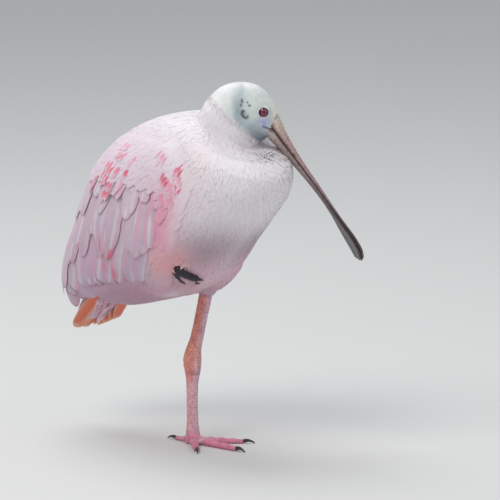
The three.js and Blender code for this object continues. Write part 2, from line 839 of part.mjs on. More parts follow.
function build() {
  const body = new THREE.Group();
  const add = (name, solid, finish) => {
    const mesh = new THREE.Mesh(toGeometry(solid), finish);
    mesh.name = name;
    body.add(mesh);
  };
  const torsoClear = torsoForm(clearance);
  const headClear = skull(clearance);

  const sides = { left: 1, right: -1 };
  const bothSides = Object.values(sides);
  const lidded = join([skull(0), ...bothSides.map(lids)]);
  const hollows = bothSides.flatMap((side) => [eye(side, clearance), ear(side), mouthLine(side)]);
  const headNode = largest(cutBy(lidded, hollows));
  const neckNode = largest(neckCut.above(torsoForm(0).add(neckTube(0))).subtract(headClear));
  const leg = standingLeg();
  const thighLeft = largest(cutBy(thigh(0), [torsoForm(clearance, 0), legSocket()]));
  const thighClear = thigh(clearance).subtract(torsoForm(0, 0));
  const torsoNode = largest(neckCut.below(torsoForm(0)).subtract(headClear));
  const ankleCut = ankle[2] - 1;
  const footCut = 11;
  const tarsus = leg.trimByPlane([0, 0, -1], -ankleCut + clearance / 2).trimByPlane([0, 0, 1], footCut + clearance / 2);
  const footSolid = standingFoot();
  const foot = cutBy(
    footSolid.trimByPlane([0, 0, -1], -footCut + clearance / 2),
    toes.map((row) => claw(row, clearance)),
  );

  add("torso", torsoNode, whitePlumage);
  add("neck", neckNode, whitePlumage);
  add("head", headNode, baldSkin);
  Object.entries(sides).forEach(([name, side]) => add(`eye_${name}`, eye(side, 0), iris));
  add("bill_upper", largest(cutBy(mandible(true, 0), [headClear, ...bothSides.map(nostrilSlit)])), horn);
  add("bill_lower", largest(mandible(false, 0).subtract(headClear).subtract(
    neckCut.above(torsoForm(clearance)),
  )), darkHorn);

  const tailNode = tail(makeDraw(11), [torsoClear]);
  add("tail", tailNode, tailPlumage);
  add("wing_left", wing(1, makeDraw(23), [torsoClear, tailNode, thighClear]), pinkPlumage);
  add("wing_right", wing(-1, makeDraw(37), [torsoClear, tailNode]), pinkPlumage);

  add("thigh_left", thighLeft, whitePlumage);
  add("tibia_left", largest(leg.trimByPlane([0, 0, 1], ankleCut + clearance / 2).subtract(torsoClear)), redSkin);
  add("tarsus_left", largest(tarsus), redSkin);
  add("foot_left", largest(foot), redSkin);
  toes.forEach((row, i) => add(`claw_left_${i + 1}`, largest(claw(row)), darkSkin));

  const tucked = cutBy(tuckedFoot(), [torsoClear, ...tuckedToes.map((row) => tuckedClaw(row, clearance))]);
  add("foot_right", largest(tucked), darkSkin);
  tuckedToes.forEach((row, i) => add(`claw_right_${i + 1}`, largest(tuckedClaw(row)), darkSkin));
  return body;
}

export default build();
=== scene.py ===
import math

import bpy
import numpy as np
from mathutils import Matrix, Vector
from mathutils.bvhtree import BVHTree
from mathutils.kdtree import KDTree


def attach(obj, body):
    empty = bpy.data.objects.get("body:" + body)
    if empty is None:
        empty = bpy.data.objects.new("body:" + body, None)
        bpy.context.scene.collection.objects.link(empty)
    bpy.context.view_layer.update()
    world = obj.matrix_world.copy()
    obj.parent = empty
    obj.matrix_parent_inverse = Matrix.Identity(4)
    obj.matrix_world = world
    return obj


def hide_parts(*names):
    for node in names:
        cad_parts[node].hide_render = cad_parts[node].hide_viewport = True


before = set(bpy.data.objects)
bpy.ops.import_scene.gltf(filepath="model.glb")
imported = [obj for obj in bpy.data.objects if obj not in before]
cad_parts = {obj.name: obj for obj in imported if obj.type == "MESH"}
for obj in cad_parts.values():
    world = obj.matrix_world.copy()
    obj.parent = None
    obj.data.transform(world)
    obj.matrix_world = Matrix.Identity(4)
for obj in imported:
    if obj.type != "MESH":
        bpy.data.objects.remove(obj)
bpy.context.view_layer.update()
mm = 0.001

# The bird faces +X, its left side is +Y, and the origin is the centre of the standing foot's sole.
# Forms are rows of oval sections, as in the solids, in millimetres:
# back x, back z, front x, front z, half width, turn about the neck's upright axis in degrees

neckAxisX = 56 * mm
headYaw = 50


def makeForm(squareness, sections, turned=False):
    rows = np.array([list(row) + [headYaw] * (6 - len(row)) for row in sections], float)
    rows[:, :5] *= mm
    return {"rows": rows, "last": len(rows) - 1, "squareness": squareness, "turned": turned}


mantle = makeForm(0.88, [
    (-175, 122, -142, 110, 18),
    (-174, 150, -114, 126, 35),
    (-162, 184, -84, 133, 51),
    (-145, 216, -55, 140, 63),
    (-125, 253, -25, 148, 72),
    (-104, 288, 5, 158, 80),
    (-73, 317, 34, 176, 80),
    (-38, 334, 57, 203, 76),
    (-5, 342, 79, 227, 71),
    (20, 345, 99, 248, 64),
    (42, 336, 112, 266, 54),
    (58, 321, 116, 284, 42),
    (72, 311, 104, 299, 27),
])
neck = makeForm(0.95, [
    (-30, 268, 44, 258, 36, 0),
    (-36, 298, 50, 286, 34, 8),
    (-38, 326, 40, 302, 29, 22),
    (-33, 348, 16, 308, 24, 38),
    (-14, 358, 4, 320, 15, headYaw),
], turned=True)
skull = makeForm(0.93, [
    (-29, 346, 8, 309, 20),
    (-23, 362, 4, 311, 21.5),
    (-11, 374, 4, 311, 22),
    (6, 379, 11, 311, 22),
    (23, 377, 19, 313, 20.4),
    (35, 369, 27, 316, 17.2),
    (43, 358, 33, 320, 13.8),
    (46.5, 349, 37, 323, 11),
], turned=True)


# Small helpers for arrays of places

def mix(a, b, t):
    return a + (b - a) * t


def fade(start, end, value):
    t = np.clip((value - start) / (end - start), 0, 1)
    return t * t * (3 - 2 * t)


def unit(vectors):
    return vectors / np.maximum(np.linalg.norm(vectors, axis=-1, keepdims=True), 1e-12)


def signedPower(value, exponent):
    return np.sign(value) * np.abs(value) ** exponent


# A smooth hump round one value, 1 at its top
def hump(value, top, width):
    return np.exp(-((value - top) / width) ** 2)


def turnAboutNeck(points, degrees):
    angle = np.radians(degrees)
    x, y, z = np.moveaxis(np.asarray(points, float), -1, 0)
    return np.stack([
        neckAxisX + x * np.cos(angle) - y * np.sin(angle),
        x * np.sin(angle) + y * np.cos(angle),
        z,
    ], -1)


def toHead(points):
    x, y, z = np.moveaxis(points, -1, 0)
    angle = math.radians(headYaw)
    x = x - neckAxisX
    ahead = x * math.cos(angle) + y * math.sin(angle)
    aside = y * math.cos(angle) - x * math.sin(angle)
    return np.stack([ahead, aside, z], -1)


def splineAt(rows, t):
    last = len(rows) - 1
    place = np.clip(t, 0, 1) * last
    first = np.floor(place).astype(int)
    weight = (place - first)[..., None]
    before, here, after, beyond = (rows[np.clip(first + step, 0, last)] for step in (-1, 0, 1, 2))
    start, end = (after - before) / 2, (beyond - here) / 2
    cubic = 2 * here - 2 * after + start + end
    square = 3 * after - 3 * here - 2 * start - end
    return ((cubic * weight + square) * weight + start) * weight + here


def formPoint(form, section, angle, inset=0.0):
    row = splineAt(form["rows"], section / form["last"])
    backX, backZ, frontX, frontZ, half, yaw = np.moveaxis(row, -1, 0)
    halfX, halfZ = (backX - frontX) / 2, (backZ - frontZ) / 2
    depth = np.hypot(halfX, halfZ)
    up = signedPower(np.cos(angle), form["squareness"]) * (depth - inset) / depth
    across = signedPower(np.sin(angle), form["squareness"]) * (half - inset)
    points = np.stack([(backX + frontX) / 2 + halfX * up, across, (backZ + frontZ) / 2 + halfZ * up], -1)
    return turnAboutNeck(points, yaw) if form["turned"] else points


def formSlopes(form, section, angle, step=0.02):
    along = (formPoint(form, section + step, angle) - formPoint(form, section - step, angle)) / (2 * step)
    around = (formPoint(form, section, angle + step) - formPoint(form, section, angle - step)) / (2 * step)
    return along, around, unit(np.cross(along, around))


def rgb(red, green, blue, gamma=2.2):
    return np.array([(c / 255) ** gamma for c in (red, green, blue)])


# Meshes

def deselectAll():
    if bpy.context.mode != "OBJECT":
        bpy.ops.object.mode_set(mode="OBJECT")
    bpy.ops.object.select_all(action="DESELECT")


def pick(*pieces):
    deselectAll()
    for piece in pieces:
        piece.select_set(True)
    bpy.context.view_layer.objects.active = pieces[0]


def meshValues(items, key, size=1, kind=np.float32):
    values = np.empty(len(items) * size, kind)
    items.foreach_get(key, values)
    return values.reshape(-1, size) if size > 1 else values


def coordinates(piece):
    return meshValues(piece.data.vertices, "co", 3).astype(float)


def setCoordinates(piece, points):
    piece.data.vertices.foreach_set("co", points.astype(np.float32).ravel())
    piece.data.update()


def pieceFromArrays(name, points, polygonSets):
    mesh = bpy.data.meshes.new(name)
    loops = np.concatenate([polygons.ravel() for polygons in polygonSets])
    sizes = np.concatenate([np.full(len(polygons), polygons.shape[1]) for polygons in polygonSets])
    mesh.vertices.add(len(points))
    mesh.vertices.foreach_set("co", points.astype(np.float32).ravel())
    mesh.loops.add(len(loops))
    mesh.loops.foreach_set("vertex_index", loops.astype(np.int32))
    mesh.polygons.add(len(sizes))
    mesh.polygons.foreach_set("loop_start", np.concatenate([[0], np.cumsum(sizes)[:-1]]).astype(np.int32))
    mesh.polygons.foreach_set("use_smooth", np.ones(len(sizes), bool))
    mesh.update(calc_edges=True)
    piece = bpy.data.objects.new(name, mesh)
    bpy.context.scene.collection.objects.link(piece)
    return piece, loops


def setTint(piece, colours):
    layer = piece.data.attributes.new("tint", "FLOAT_COLOR", "POINT")
    rgba = np.concatenate([np.clip(colours, 0, 1), np.ones((len(colours), 1))], 1)
    layer.data.foreach_set("color", rgba.astype(np.float32).ravel())


def addUv(piece, name, perVertex, loops):
    layer = piece.data.uv_layers.new(name=name)
    layer.uv.foreach_set("vector", perVertex[loops].astype(np.float32).ravel())


# A sphere pulled over a form's sections, with closed ends
def pieceFromForm(name, form, fromSection, toSection, inset, segments=72, rings=60):
    deselectAll()
    bpy.ops.mesh.primitive_uv_sphere_add(segments=segments, ring_count=rings, radius=1)
    piece = bpy.context.object
    piece.name = name
    points = coordinates(piece)
    latitude = np.arccos(np.clip(points[:, 2], -1, 1)) / math.pi
    around = np.arctan2(points[:, 1], points[:, 0])
    end = 1 / rings
    section = mix(fromSection, toSection, np.clip((latitude - end) / (1 - 2 * end), 0, 1))
    closing = np.clip(np.minimum(latitude, 1 - latitude) / end, 0, 1)[:, None]
    middle = (formPoint(form, section, 0 * around) + formPoint(form, section, 0 * around + math.pi)) / 2
    depth = inset(section, around) if callable(inset) else inset
    setCoordinates(piece, mix(middle, formPoint(form, section, around, depth), closing))
    return piece


def treeOf(*pieces):
    points, faces = [], []
    for piece in pieces:
        offset = len(points)
        points += [Vector(p) for p in coordinates(piece)]
        faces += [[offset + corner for corner in polygon.vertices] for polygon in piece.data.polygons]
    return BVHTree.FromPolygons(points, faces)


# Materials

def addNode(tree, kind, inputs=None, **settings):
    made = tree.nodes.new(kind)
    for key, value in settings.items():
        setattr(made, key, value)
    for key, value in (inputs or {}).items():
        if isinstance(value, bpy.types.NodeSocket):
            tree.links.new(value, made.inputs[key])
        else:
            made.inputs[key].default_value = value
    return made


def calculate(tree, operation, *values):
    return addNode(tree, "ShaderNodeMath", dict(enumerate(values)), operation=operation).outputs[0]


def mapRange(tree, value, start, end=(0, 1)):
    span = dict(zip(("From Min", "From Max", "To Min", "To Max"), (*start, *end)))
    return addNode(tree, "ShaderNodeMapRange", {"Value": value, **span}).outputs["Result"]


def objectPlace(tree):
    return addNode(tree, "ShaderNodeTexCoord").outputs["Object"]


def noiseValue(tree, place, scale, detail):
    noise = addNode(tree, "ShaderNodeTexNoise", {"Vector": place, "Scale": scale, "Detail": detail})
    return noise.outputs["Fac"]


def brightened(tree, colour, factor):
    return addNode(tree, "ShaderNodeVectorMath", {0: colour, "Scale": factor}, operation="SCALE").outputs[0]


def addRelief(tree, shader, height, strength, distance):
    relief = addNode(tree, "ShaderNodeBump", {"Height": height, "Strength": strength, "Distance": distance})
    tree.links.new(relief.outputs["Normal"], shader.inputs["Normal"])


def newMaterial(name, surface):
    material = bpy.data.materials.new(name)
    material.use_nodes = True
    tree = material.node_tree
    shader = tree.nodes["Principled BSDF"]
    for key, value in surface.items():
        shader.inputs[key].default_value = value
    return material, tree, shader


def newGroup(name, inputs, outputs):
    group = bpy.data.node_groups.new(name, "ShaderNodeTree")
    for label, kind, value in inputs:
        socket = group.interface.new_socket(name=label, in_out="INPUT", socket_type=kind)
        if value is not None:
            socket.default_value = value
    for label, kind in outputs:
        group.interface.new_socket(name=label, in_out="OUTPUT", socket_type=kind)
    return group, addNode(group, "NodeGroupInput"), addNode(group, "NodeGroupOutput")


# Soft mottling of a colour over the piece
def makeMottle():
    inputs = [
        ("Color", "NodeSocketColor", None),
        ("Scale", "NodeSocketFloat", 60),
        ("Amount", "NodeSocketFloat", 0.1),
    ]
    group, given, result = newGroup("mottle", inputs, [("Color", "NodeSocketColor")])
    noise = noiseValue(group, objectPlace(group), given.outputs["Scale"], 4)
    amount = calculate(group, "MULTIPLY", mapRange(group, noise, (0.3, 0.7)), given.outputs["Amount"])
    bright = calculate(group, "SUBTRACT", 1.0, amount)
    group.links.new(brightened(group, given.outputs["Color"], bright), result.inputs["Color"])
    return group


# Fine slanting barbs, from a vane's own map
def makeBarbs():
    inputs = [("Count", "NodeSocketFloat", 60), ("Slope", "NodeSocketFloat", 0.5)]
    outputs = [("Height", "NodeSocketFloat"), ("Shade", "NodeSocketFloat")]
    group, given, result = newGroup("barbs", inputs, outputs)
    vane = addNode(group, "ShaderNodeUVMap", uv_map="vane")
    split = addNode(group, "ShaderNodeSeparateXYZ", {"Vector": vane.outputs["UV"]})
    aside = calculate(group, "ABSOLUTE", calculate(group, "SUBTRACT", split.outputs["X"], 0.5))
    slope = calculate(group, "MULTIPLY", aside, given.outputs["Slope"])
    along = calculate(group, "SUBTRACT", split.outputs["Y"], slope)
    wave = calculate(group, "SINE", calculate(group, "MULTIPLY", along, given.outputs["Count"]))
    height = calculate(group, "MULTIPLY", wave, noiseValue(group, objectPlace(group), 300, 3))
    shaft = mapRange(group, aside, (0.0, 0.035), (1.0, 0.0))
    group.links.new(calculate(group, "ADD", height, shaft), result.inputs["Height"])
    group.links.new(mapRange(group, height, (-0.6, 0.6), (0.9, 1.05)), result.inputs["Shade"])
    return group


mottleGroup = makeMottle()
barbsGroup = makeBarbs()


def mottled(tree, colour, scale, amount):
    group = addNode(tree, "ShaderNodeGroup", node_tree=mottleGroup)
    tree.links.new(colour, group.inputs["Color"])
    group.inputs["Scale"].default_value = scale
    group.inputs["Amount"].default_value = amount
    return group.outputs["Color"]


def tintOf(tree):
    return addNode(tree, "ShaderNodeAttribute", attribute_name="tint").outputs["Color"]


def plumageMaterial(name, barbCount, bump, mottling):
    surface = {"Roughness": 0.78, "Sheen Weight": 0.25, "Sheen Roughness": 0.6, "IOR": 1.4}
    material, tree, shader = newMaterial(name, surface)
    barbs = addNode(tree, "ShaderNodeGroup", node_tree=barbsGroup)
    barbs.inputs["Count"].default_value = barbCount
    colour = mottled(tree, tintOf(tree), *mottling)
    tree.links.new(brightened(tree, colour, barbs.outputs["Shade"]), shader.inputs["Base Color"])
    addRelief(tree, shader, barbs.outputs["Height"], bump, 0.4 * mm)
    return material


def skinMaterial():
    material, tree, shader = newMaterial("bareSkin", {
        "Roughness": 0.55, "Subsurface Weight": 0.12, "Subsurface Scale": 0.004,
        "Subsurface Radius": (1.0, 0.5, 0.4),
    })
    tree.links.new(mottled(tree, tintOf(tree), 220, 0.12), shader.inputs["Base Color"])
    place = objectPlace(tree)
    pebbles = addNode(tree, "ShaderNodeTexVoronoi", {"Vector": place, "Scale": 700})
    folds = noiseValue(tree, place, 240, 5)
    height = calculate(tree, "MULTIPLY", pebbles.outputs["Distance"], folds)
    addRelief(tree, shader, height, 0.35, 0.8 * mm)
    return material


# Floor, light and camera

stage = {
    "floorSize": 30, "floorColour": (0.68, 0.68, 0.67, 1),
    "world": (0.93, 0.96, 1.0, 1), "worldStrength": 0.47,
    "lights": [  # name, place, aim, size, power, colour
        ("keyLight", (0.2, -1.6, 2.2), (0, 0, 0.22), 1.4, 27, (1.0, 0.98, 0.95)),
        ("topLight", (-0.9, 0.3, 2.3), (-0.03, 0, 0.25), 1.6, 25, (0.96, 0.98, 1.0)),
        ("fillLight", (1.8, 0.4, 1.0), (0.03, 0, 0.25), 1.6, 5, (0.95, 0.97, 1.0)),
    ],
}
view = {
    "azimuth": 45, "elevation": 10, "distance": 9.0, "clipEnd": 100,
    "pixelsPerMetre": 980, "footPixel": (193, 443), "picture": 500, "sensor": 36,
}


def makeFloor():
    deselectAll()
    bpy.ops.mesh.primitive_plane_add(size=stage["floorSize"])
    floor = bpy.context.object
    floor.name = "floor"
    material, _, shader = newMaterial("studioFloor", {"Roughness": 0.85})
    shader.inputs["Base Color"].default_value = stage["floorColour"]
    floor.data.materials.append(material)


def makeLight(name, place, aim, size, power, colour):
    deselectAll()
    bpy.ops.object.light_add(type="AREA", location=place)
    light = bpy.context.object
    light.name = name
    light.data.shape = "DISK"
    light.data.size = size
    light.data.energy = power
    light.data.color = colour
    light.rotation_euler = (Vector(aim) - Vector(place)).to_track_quat("-Z", "Y").to_euler()


def makeWorld():
    world = bpy.data.worlds.new("studio")
    bpy.context.scene.world = world
    world.use_nodes = True
    background = world.node_tree.nodes["Background"]
    background.inputs["Color"].default_value = stage["world"]
    background.inputs["Strength"].default_value = stage["worldStrength"]


def makeCamera():
    azimuth, elevation = math.radians(view["azimuth"]), math.radians(view["elevation"])
    level = math.cos(elevation)
    right = Vector((math.cos(azimuth), math.sin(azimuth), 0))
    toward = Vector((math.sin(azimuth) * level, -math.cos(azimuth) * level, math.sin(elevation)))
    up = toward.cross(right)
    centre = view["picture"] / 2
    aside = (centre - view["footPixel"][0]) / view["pixelsPerMetre"]
    above = (view["footPixel"][1] - centre) / view["pixelsPerMetre"]
    target = right * aside + up * above
    camera = bpy.data.cameras.new("camera")
    camera.sensor_width = view["sensor"]
    camera.lens = view["sensor"] * view["distance"] * view["pixelsPerMetre"] / view["picture"]
    camera.clip_end = view["clipEnd"]
    holder = bpy.data.objects.new("camera", camera)
    bpy.context.scene.collection.objects.link(holder)
    holder.location = target + toward * view["distance"]
    holder.rotation_euler = toward.to_track_quat("Z", "Y").to_euler()
    bpy.context.scene.camera = holder


makeFloor()
for light in stage["lights"]:
    makeLight(*light)
makeWorld()
makeCamera()
bpy.context.scene.view_settings.view_transform = "Standard"
print("stage done")


# Markings and painted shade, the same for the skin and for the coat over it

palette = {
    "white": rgb(246, 240, 243), "pale": rgb(225, 205, 210), "shade": rgb(196, 178, 188),
    "palePink": rgb(243, 214, 225), "pink": rgb(238, 178, 200), "rose": rgb(240, 150, 178),
    "carmine": rgb(226, 44, 84), "salmon": rgb(240, 168, 168), "peach": rgb(243, 214, 206),
    "mauve": rgb(200, 162, 188), "greyMauve": rgb(192, 178, 200), "deepMauve": rgb(146, 104, 124),
    "dusk": rgb(96, 66, 88), "orange": rgb(240, 126, 84), "red": rgb(232, 84, 80),
    "buff": rgb(244, 212, 176), "bald": rgb(214, 224, 219), "blueGrey": rgb(150, 168, 178),
    "slate": rgb(92, 100, 118), "lavender": rgb(164, 172, 224), "forehead": rgb(234, 198, 172),
    "black": rgb(30, 28, 34), "claw": rgb(58, 50, 52),
    "legRed": rgb(246, 150, 140), "legMauve": rgb(236, 190, 208), "ankle": rgb(244, 170, 146),
    "foot": rgb(232, 142, 168), "scute": rgb(30, 28, 33), "scuteRidgeLight": rgb(64, 60, 66),
}


def spot(points, centre, radii):
    place = (points - np.array(centre) * mm) / (np.array(radii) * mm)
    return np.exp(-(place ** 2).sum(-1))


def mirrored(points):
    return np.stack([points[..., 0], -np.abs(points[..., 1]), points[..., 2]], -1)


def tinted(colours, colour, amount):
    return mix(colours, palette[colour], np.clip(amount, 0, 1)[..., None])


# Rose, peach and mauve washes over the white plumage, with painted shade low on the body, in millimetres on
# the bird's right side:
# colour, centre, reach, strength
washes = [
    # Deep mauve and painted shade over the belly
    ("deepMauve", (-40, -40, 145), (110, 80, 42), 0.95),
    # Painted shade on the lower breast
    ("shade", (50, -40, 209), (60, 60, 30), 0.45),
    # Deep mauve and painted shade low on the wing
    ("deepMauve", (-70, -70, 182), (64, 60, 44), 0.65),
    ("greyMauve", (40, -50, 250), (90, 60, 70), 0.12),
    ("rose", (-10, -20, 162), (70, 60, 22), 0.3),
    ("pink", (36, -30, 182), (34, 40, 22), 0.6),
    # Deep mauve and painted shade on the middle of the breast
    ("deepMauve", (60, -40, 208), (50, 60, 23), 0.6),
    ("peach", (68, -44, 292), (9, 18, 24), 0.4),
    ("palePink", (20, -70, 275), (44, 30, 50), 0.7),
    ("pink", (36, -72, 268), (22, 16, 24), 0.6),
    ("rose", (30, -72, 256), (13, 14, 16), 0.75),
    ("rose", (27, -73, 232), (14, 16, 28), 0.9),
    ("salmon", (26, -60, 200), (20, 20, 17), 0.85),
    ("white", (-10, -22, 160), (12, 12, 10), 0.6),
    ("greyMauve", (-50, -50, 290), (80, 60, 50), 0.7),
    ("palePink", (-50, -50, 290), (60, 40, 40), 0.5),
    ("mauve", (-84, -60, 200), (70, 50, 70), 0.75),
]


def plumageColour(points):
    side = mirrored(points)
    colours = np.broadcast_to(palette["white"], points.shape).copy()
    for colour, centre, reach, amount in washes:
        colours = tinted(colours, colour, amount * spot(side, centre, reach))
    return colours


# In the head's plane: colour, centre, reach, strength
headMarks = [
    ("white", (-18, 0, 350), (20, 40, 34), 0.8),
    ("white", (16, 0, 380), (26, 26, 14), 0.5),
    ("blueGrey", (5, -20, 352), (6, 30, 20), 0.85),
    ("blueGrey", (9, -20, 372), (4, 30, 10), 0.4),
    ("blueGrey", (18, -20, 335), (16, 24, 8), 0.75),
    ("slate", (32, -14, 321), (13, 22, 8), 1.0),
    ("slate", (21, -14, 327), (12, 22, 6), 0.55),
    ("lavender", (31.5, -18, 341.5), (8, 9, 2.4), 0.85),
    ("lavender", (32.5, -18, 338.5), (4.5, 9, 2.6), 0.85),
    ("lavender", (33.5, -18, 335.5), (2.6, 9, 2.4), 0.7),
    ("forehead", (46, 0, 348), (5.5, 14, 12), 0.9),
    ("forehead", (45, -12, 334), (5, 10, 9), 0.6),
    ("white", (33, -19, 351), (9, 8, 8.5), 0.3),
]
# Dark specks round the ear, in the head's plane: place, size
earMarks = [
    ((9.6, 352.6), (2.1, 1.6)), ((8.6, 350.0), (1.6, 2.4)), ((10.4, 347.0), (2.1, 1.6)),
    ((12.8, 345.6), (2.2, 1.3)), ((14.4, 347.4), (1.1, 1.4)), ((8.8, 362.5), (1.1, 2.4)),
    ((7.6, 358.4), (1.0, 1.4)), ((14.5, 361), (1.0, 1.1)), ((16.3, 357.8), (1.4, 1.2)),
]
# Rings round the eye: colour, radius, width, strength
eyeRings = [("pale", 5.9, 0.8, 0.35), ("dusk", 4.7, 0.45, 0.9), ("lavender", 7.3, 0.7, 0.25)]

# The face in the head's frame, in millimetres. A rim is a height, a place and a width
face = {
    "eyePlace": (30.9, 12.3, 350.3), "eyeTall": 0.93, "eyeBall": 6.6, "lid": 0.9, "opening": 4.75,
    "openingEdge": 0.35, "sunk": 1.5, "lidRim": (0.35, 5.6, 0.6), "folds": (0.3, 8.6, 1.8),
    "foldStart": 8.0, "foldRate": 2.6, "eyeReach": 14,
    "earPlace": (11.5, 349.4), "earSize": (2.2, 3), "earDepth": 2.2, "earFall": 1.4,
    "earRim": (0.7, 1.5, 0.5), "mouth": [(45, 328.2), (41, 330.6), (36, 333), (30.5, 335.6)],
    "mouthDepth": 0.9, "mouthWidth": 0.9, "mouthRim": (0.5, 2.1, 0.9), "mouthLine": 0.8,
    "jowl": 0.35, "jowlAt": (22, 326), "jowlSize": (16, 9), "jowlSlant": 0.55, "jowlRate": 0.95,
    "speckSide": 8 * mm, "mouthSide": 6 * mm, "flank": (5, 300, -10),
    "fineFrom": (-26 * mm, 306 * mm), "cuts": 2,
}


def eyeDistance(x, z):
    eyeX, _, eyeZ = face["eyePlace"]
    return np.hypot(x - eyeX, (z - eyeZ) / face["eyeTall"])


def baldColour(points):
    x, y, z = np.moveaxis(toHead(points), -1, 0)
    place = np.stack([x, -np.abs(y), z], -1)
    colours = np.broadcast_to(palette["bald"], points.shape).copy()
    for colour, centre, reach, amount in headMarks:
        colours = tinted(colours, colour, amount * spot(place, centre, reach))
    for (markX, markZ), (sizeX, sizeZ) in earMarks:
        near = np.exp(-(((x / mm - markX) / sizeX) ** 2 + ((z / mm - markZ) / sizeZ) ** 2) ** 1.5)
        colours = tinted(colours, "black", 0.85 * near * (np.abs(y) > face["speckSide"]))
    distance = eyeDistance(x / mm, z / mm)
    for colour, radius, width, amount in eyeRings:
        colours = tinted(colours, colour, amount * hump(distance, radius, width))
    line = hump(nearPath(x / mm, z / mm, face["mouth"]), 0, face["mouthLine"])
    return tinted(colours, "black", 0.8 * line * (np.abs(y) > face["mouthSide"]))


# The standing leg, in millimetres: its middle as x + y at some heights, then where each colour lies
legMarks = {
    "axis": ([0, 12, 82, 128, 154], [0, -0.5, -1, 12, 19]), "mauveSide": (-2, 6), "mauveBelow": (72, 56),
    "ankle": ((-9, 14, 88), (12, 12, 16)), "creaseShade": ((-13, 12, 70), (16, 16, 2.2)),
    "footBelow": (16, 6), "toeRing": (15, 2.4), "ringBelow": (16, 10),
}


def legColour(points):
    x, y, z = np.moveaxis(points / mm, -1, 0)
    aside = x + y - np.interp(z, *legMarks["axis"])
    colours = np.broadcast_to(palette["legRed"], points.shape).copy()
    colours = tinted(colours, "legMauve", fade(*legMarks["mauveSide"], aside))
    colours = tinted(colours, "ankle", 0.85 * spot(points, *legMarks["ankle"]))
    colours = tinted(colours, "legMauve", 0.6 * fade(*legMarks["mauveBelow"], z))
    # A thin band of painted shade in the crease below the ankle
    colours = tinted(colours, "dusk", 0.4 * spot(points, *legMarks["creaseShade"]))
    colours = tinted(colours, "foot", fade(*legMarks["footBelow"], z))
    ring = hump(np.hypot(x, y), *legMarks["toeRing"]) * fade(*legMarks["ringBelow"], z)
    return tinted(colours, "pale", 0.6 * ring)


# How far places are from a path of straight steps
def nearPath(x, z, path):
    nearest = np.full(np.shape(x), np.inf)
    for (startX, startZ), (endX, endZ) in zip(path, path[1:]):
        alongX, alongZ = endX - startX, endZ - startZ
        t = np.clip(((x - startX) * alongX + (z - startZ) * alongZ) / (alongX ** 2 + alongZ ** 2), 0, 1)
        nearest = np.minimum(nearest, np.hypot(x - startX - t * alongX, z - startZ - t * alongZ))
    return nearest


# Zones in millimetres: a pair fades from none of the zone to all of it

zones = {
    "bareEdge": (-7, 349.5), "bareSlope": (0.713, 0.70), "bareFrom": (-5, 5), "bareAbove": (314, 321),
    "bareWithin": (29, 25), "neckWithin": (46, 36), "neckAbove": (272, 302),
    "thighAt": (4, 25), "thighWithin": (40, 30), "thighSide": (5, 12), "thighBelow": (176, 166),
    "legAt": (-5, 22), "legWithin": (24, 16), "legBelow": (161, 156), "ankleBelow": 120,
}
tuckedFoot = {
    "section": 6.0, "degrees": -153, "reach": 27 * mm, "scute": 2.4 * mm,
    "toes": [((6.15, -144), (6.05, -166), 3.5), ((5.95, -145), (5.72, -158), 2.4)],
}


def bareness(points):
    x, y, z = np.moveaxis(toHead(points) / mm, -1, 0)
    (edgeX, edgeZ), (slopeX, slopeZ) = zones["bareEdge"], zones["bareSlope"]
    pastEdge = fade(*zones["bareFrom"], (x - edgeX) * slopeX + (z - edgeZ) * slopeZ)
    return pastEdge * fade(*zones["bareAbove"], z) * fade(*zones["bareWithin"], np.abs(y))


def neckness(points):
    x, y, z = np.moveaxis(toHead(points) / mm, -1, 0)
    return fade(*zones["neckWithin"], np.hypot(x, y)) * fade(*zones["neckAbove"], z)


def thighness(points):
    x, y, z = np.moveaxis(points / mm, -1, 0)
    middleX, middleY = zones["thighAt"]
    near = fade(*zones["thighWithin"], np.hypot(x - middleX, y - middleY))
    return fade(*zones["thighSide"], y) * fade(*zones["thighBelow"], z) * near


def legness(points):
    x, y, z = np.moveaxis(points / mm, -1, 0)
    middleX, middleY = zones["legAt"]
    near = fade(*zones["legWithin"], np.hypot(x - middleX, y - middleY))
    return fade(*zones["legBelow"], z) * np.where(z > zones["ankleBelow"], near, 1)


def nearTucked(points):
    centre = formPoint(mantle, np.array(tuckedFoot["section"]), np.radians(tuckedFoot["degrees"]))
    return fade(tuckedFoot["reach"], tuckedFoot["reach"] * 0.8, np.linalg.norm(points - centre, axis=-1))


# The folded wings on the mantle: degrees from its back, and sections

wingArea = {
    "top": (6, 62), "topBetween": (4.2, 9), "bottom": 146, "corner": 5, "fallAhead": 14.5, "fallBehind": 8,
    "arm": (5.2, 8.3), "armBetween": (30, 112), "armEdge": (0.0, 1.4), "topEdge": (-12, 10),
    "bottomEdge": (-22, 2),
}


def wingTop(section):
    return mix(*wingArea["top"], fade(*wingArea["topBetween"], section))


def wingBottom(section):
    ahead = section - wingArea["corner"]
    fall = np.where(ahead > 0, wingArea["fallAhead"], -wingArea["fallBehind"])
    return wingArea["bottom"] - fall * ahead


def armSection(degrees):
    return mix(*wingArea["arm"], fade(*wingArea["armBetween"], degrees))


def degreesAside(angle):
    return np.abs(np.degrees((angle + math.pi) % (2 * math.pi) - math.pi))


# How far a place lies under the long feathers, from 0 to 1
def underVanes(section, angle):
    degrees = degreesAside(angle)
    top = fade(*wingArea["topEdge"], degrees - wingTop(section))
    bottom = 1 - fade(*wingArea["bottomEdge"], degrees - wingBottom(section))
    return top * bottom * fade(*wingArea["armEdge"], armSection(degrees) - section)


# Skin: one closed surface under the coat, out to the toes

skinShape = {
    "voxel": 2.3 * mm, "smoothing": 6, "rear": 2.3, "body": 3.0 * mm, "neck": 2.2 * mm, "pocket": 9 * mm,
    "heel": (8, 6, 9), "heelSection": 6.05, "heelDegrees": -147.0, "heelInset": 4 * mm,
}
fleshNodes = ["torso", "neck", "head", "thigh_left", "tibia_left", "tarsus_left", "foot_left", "foot_right"]


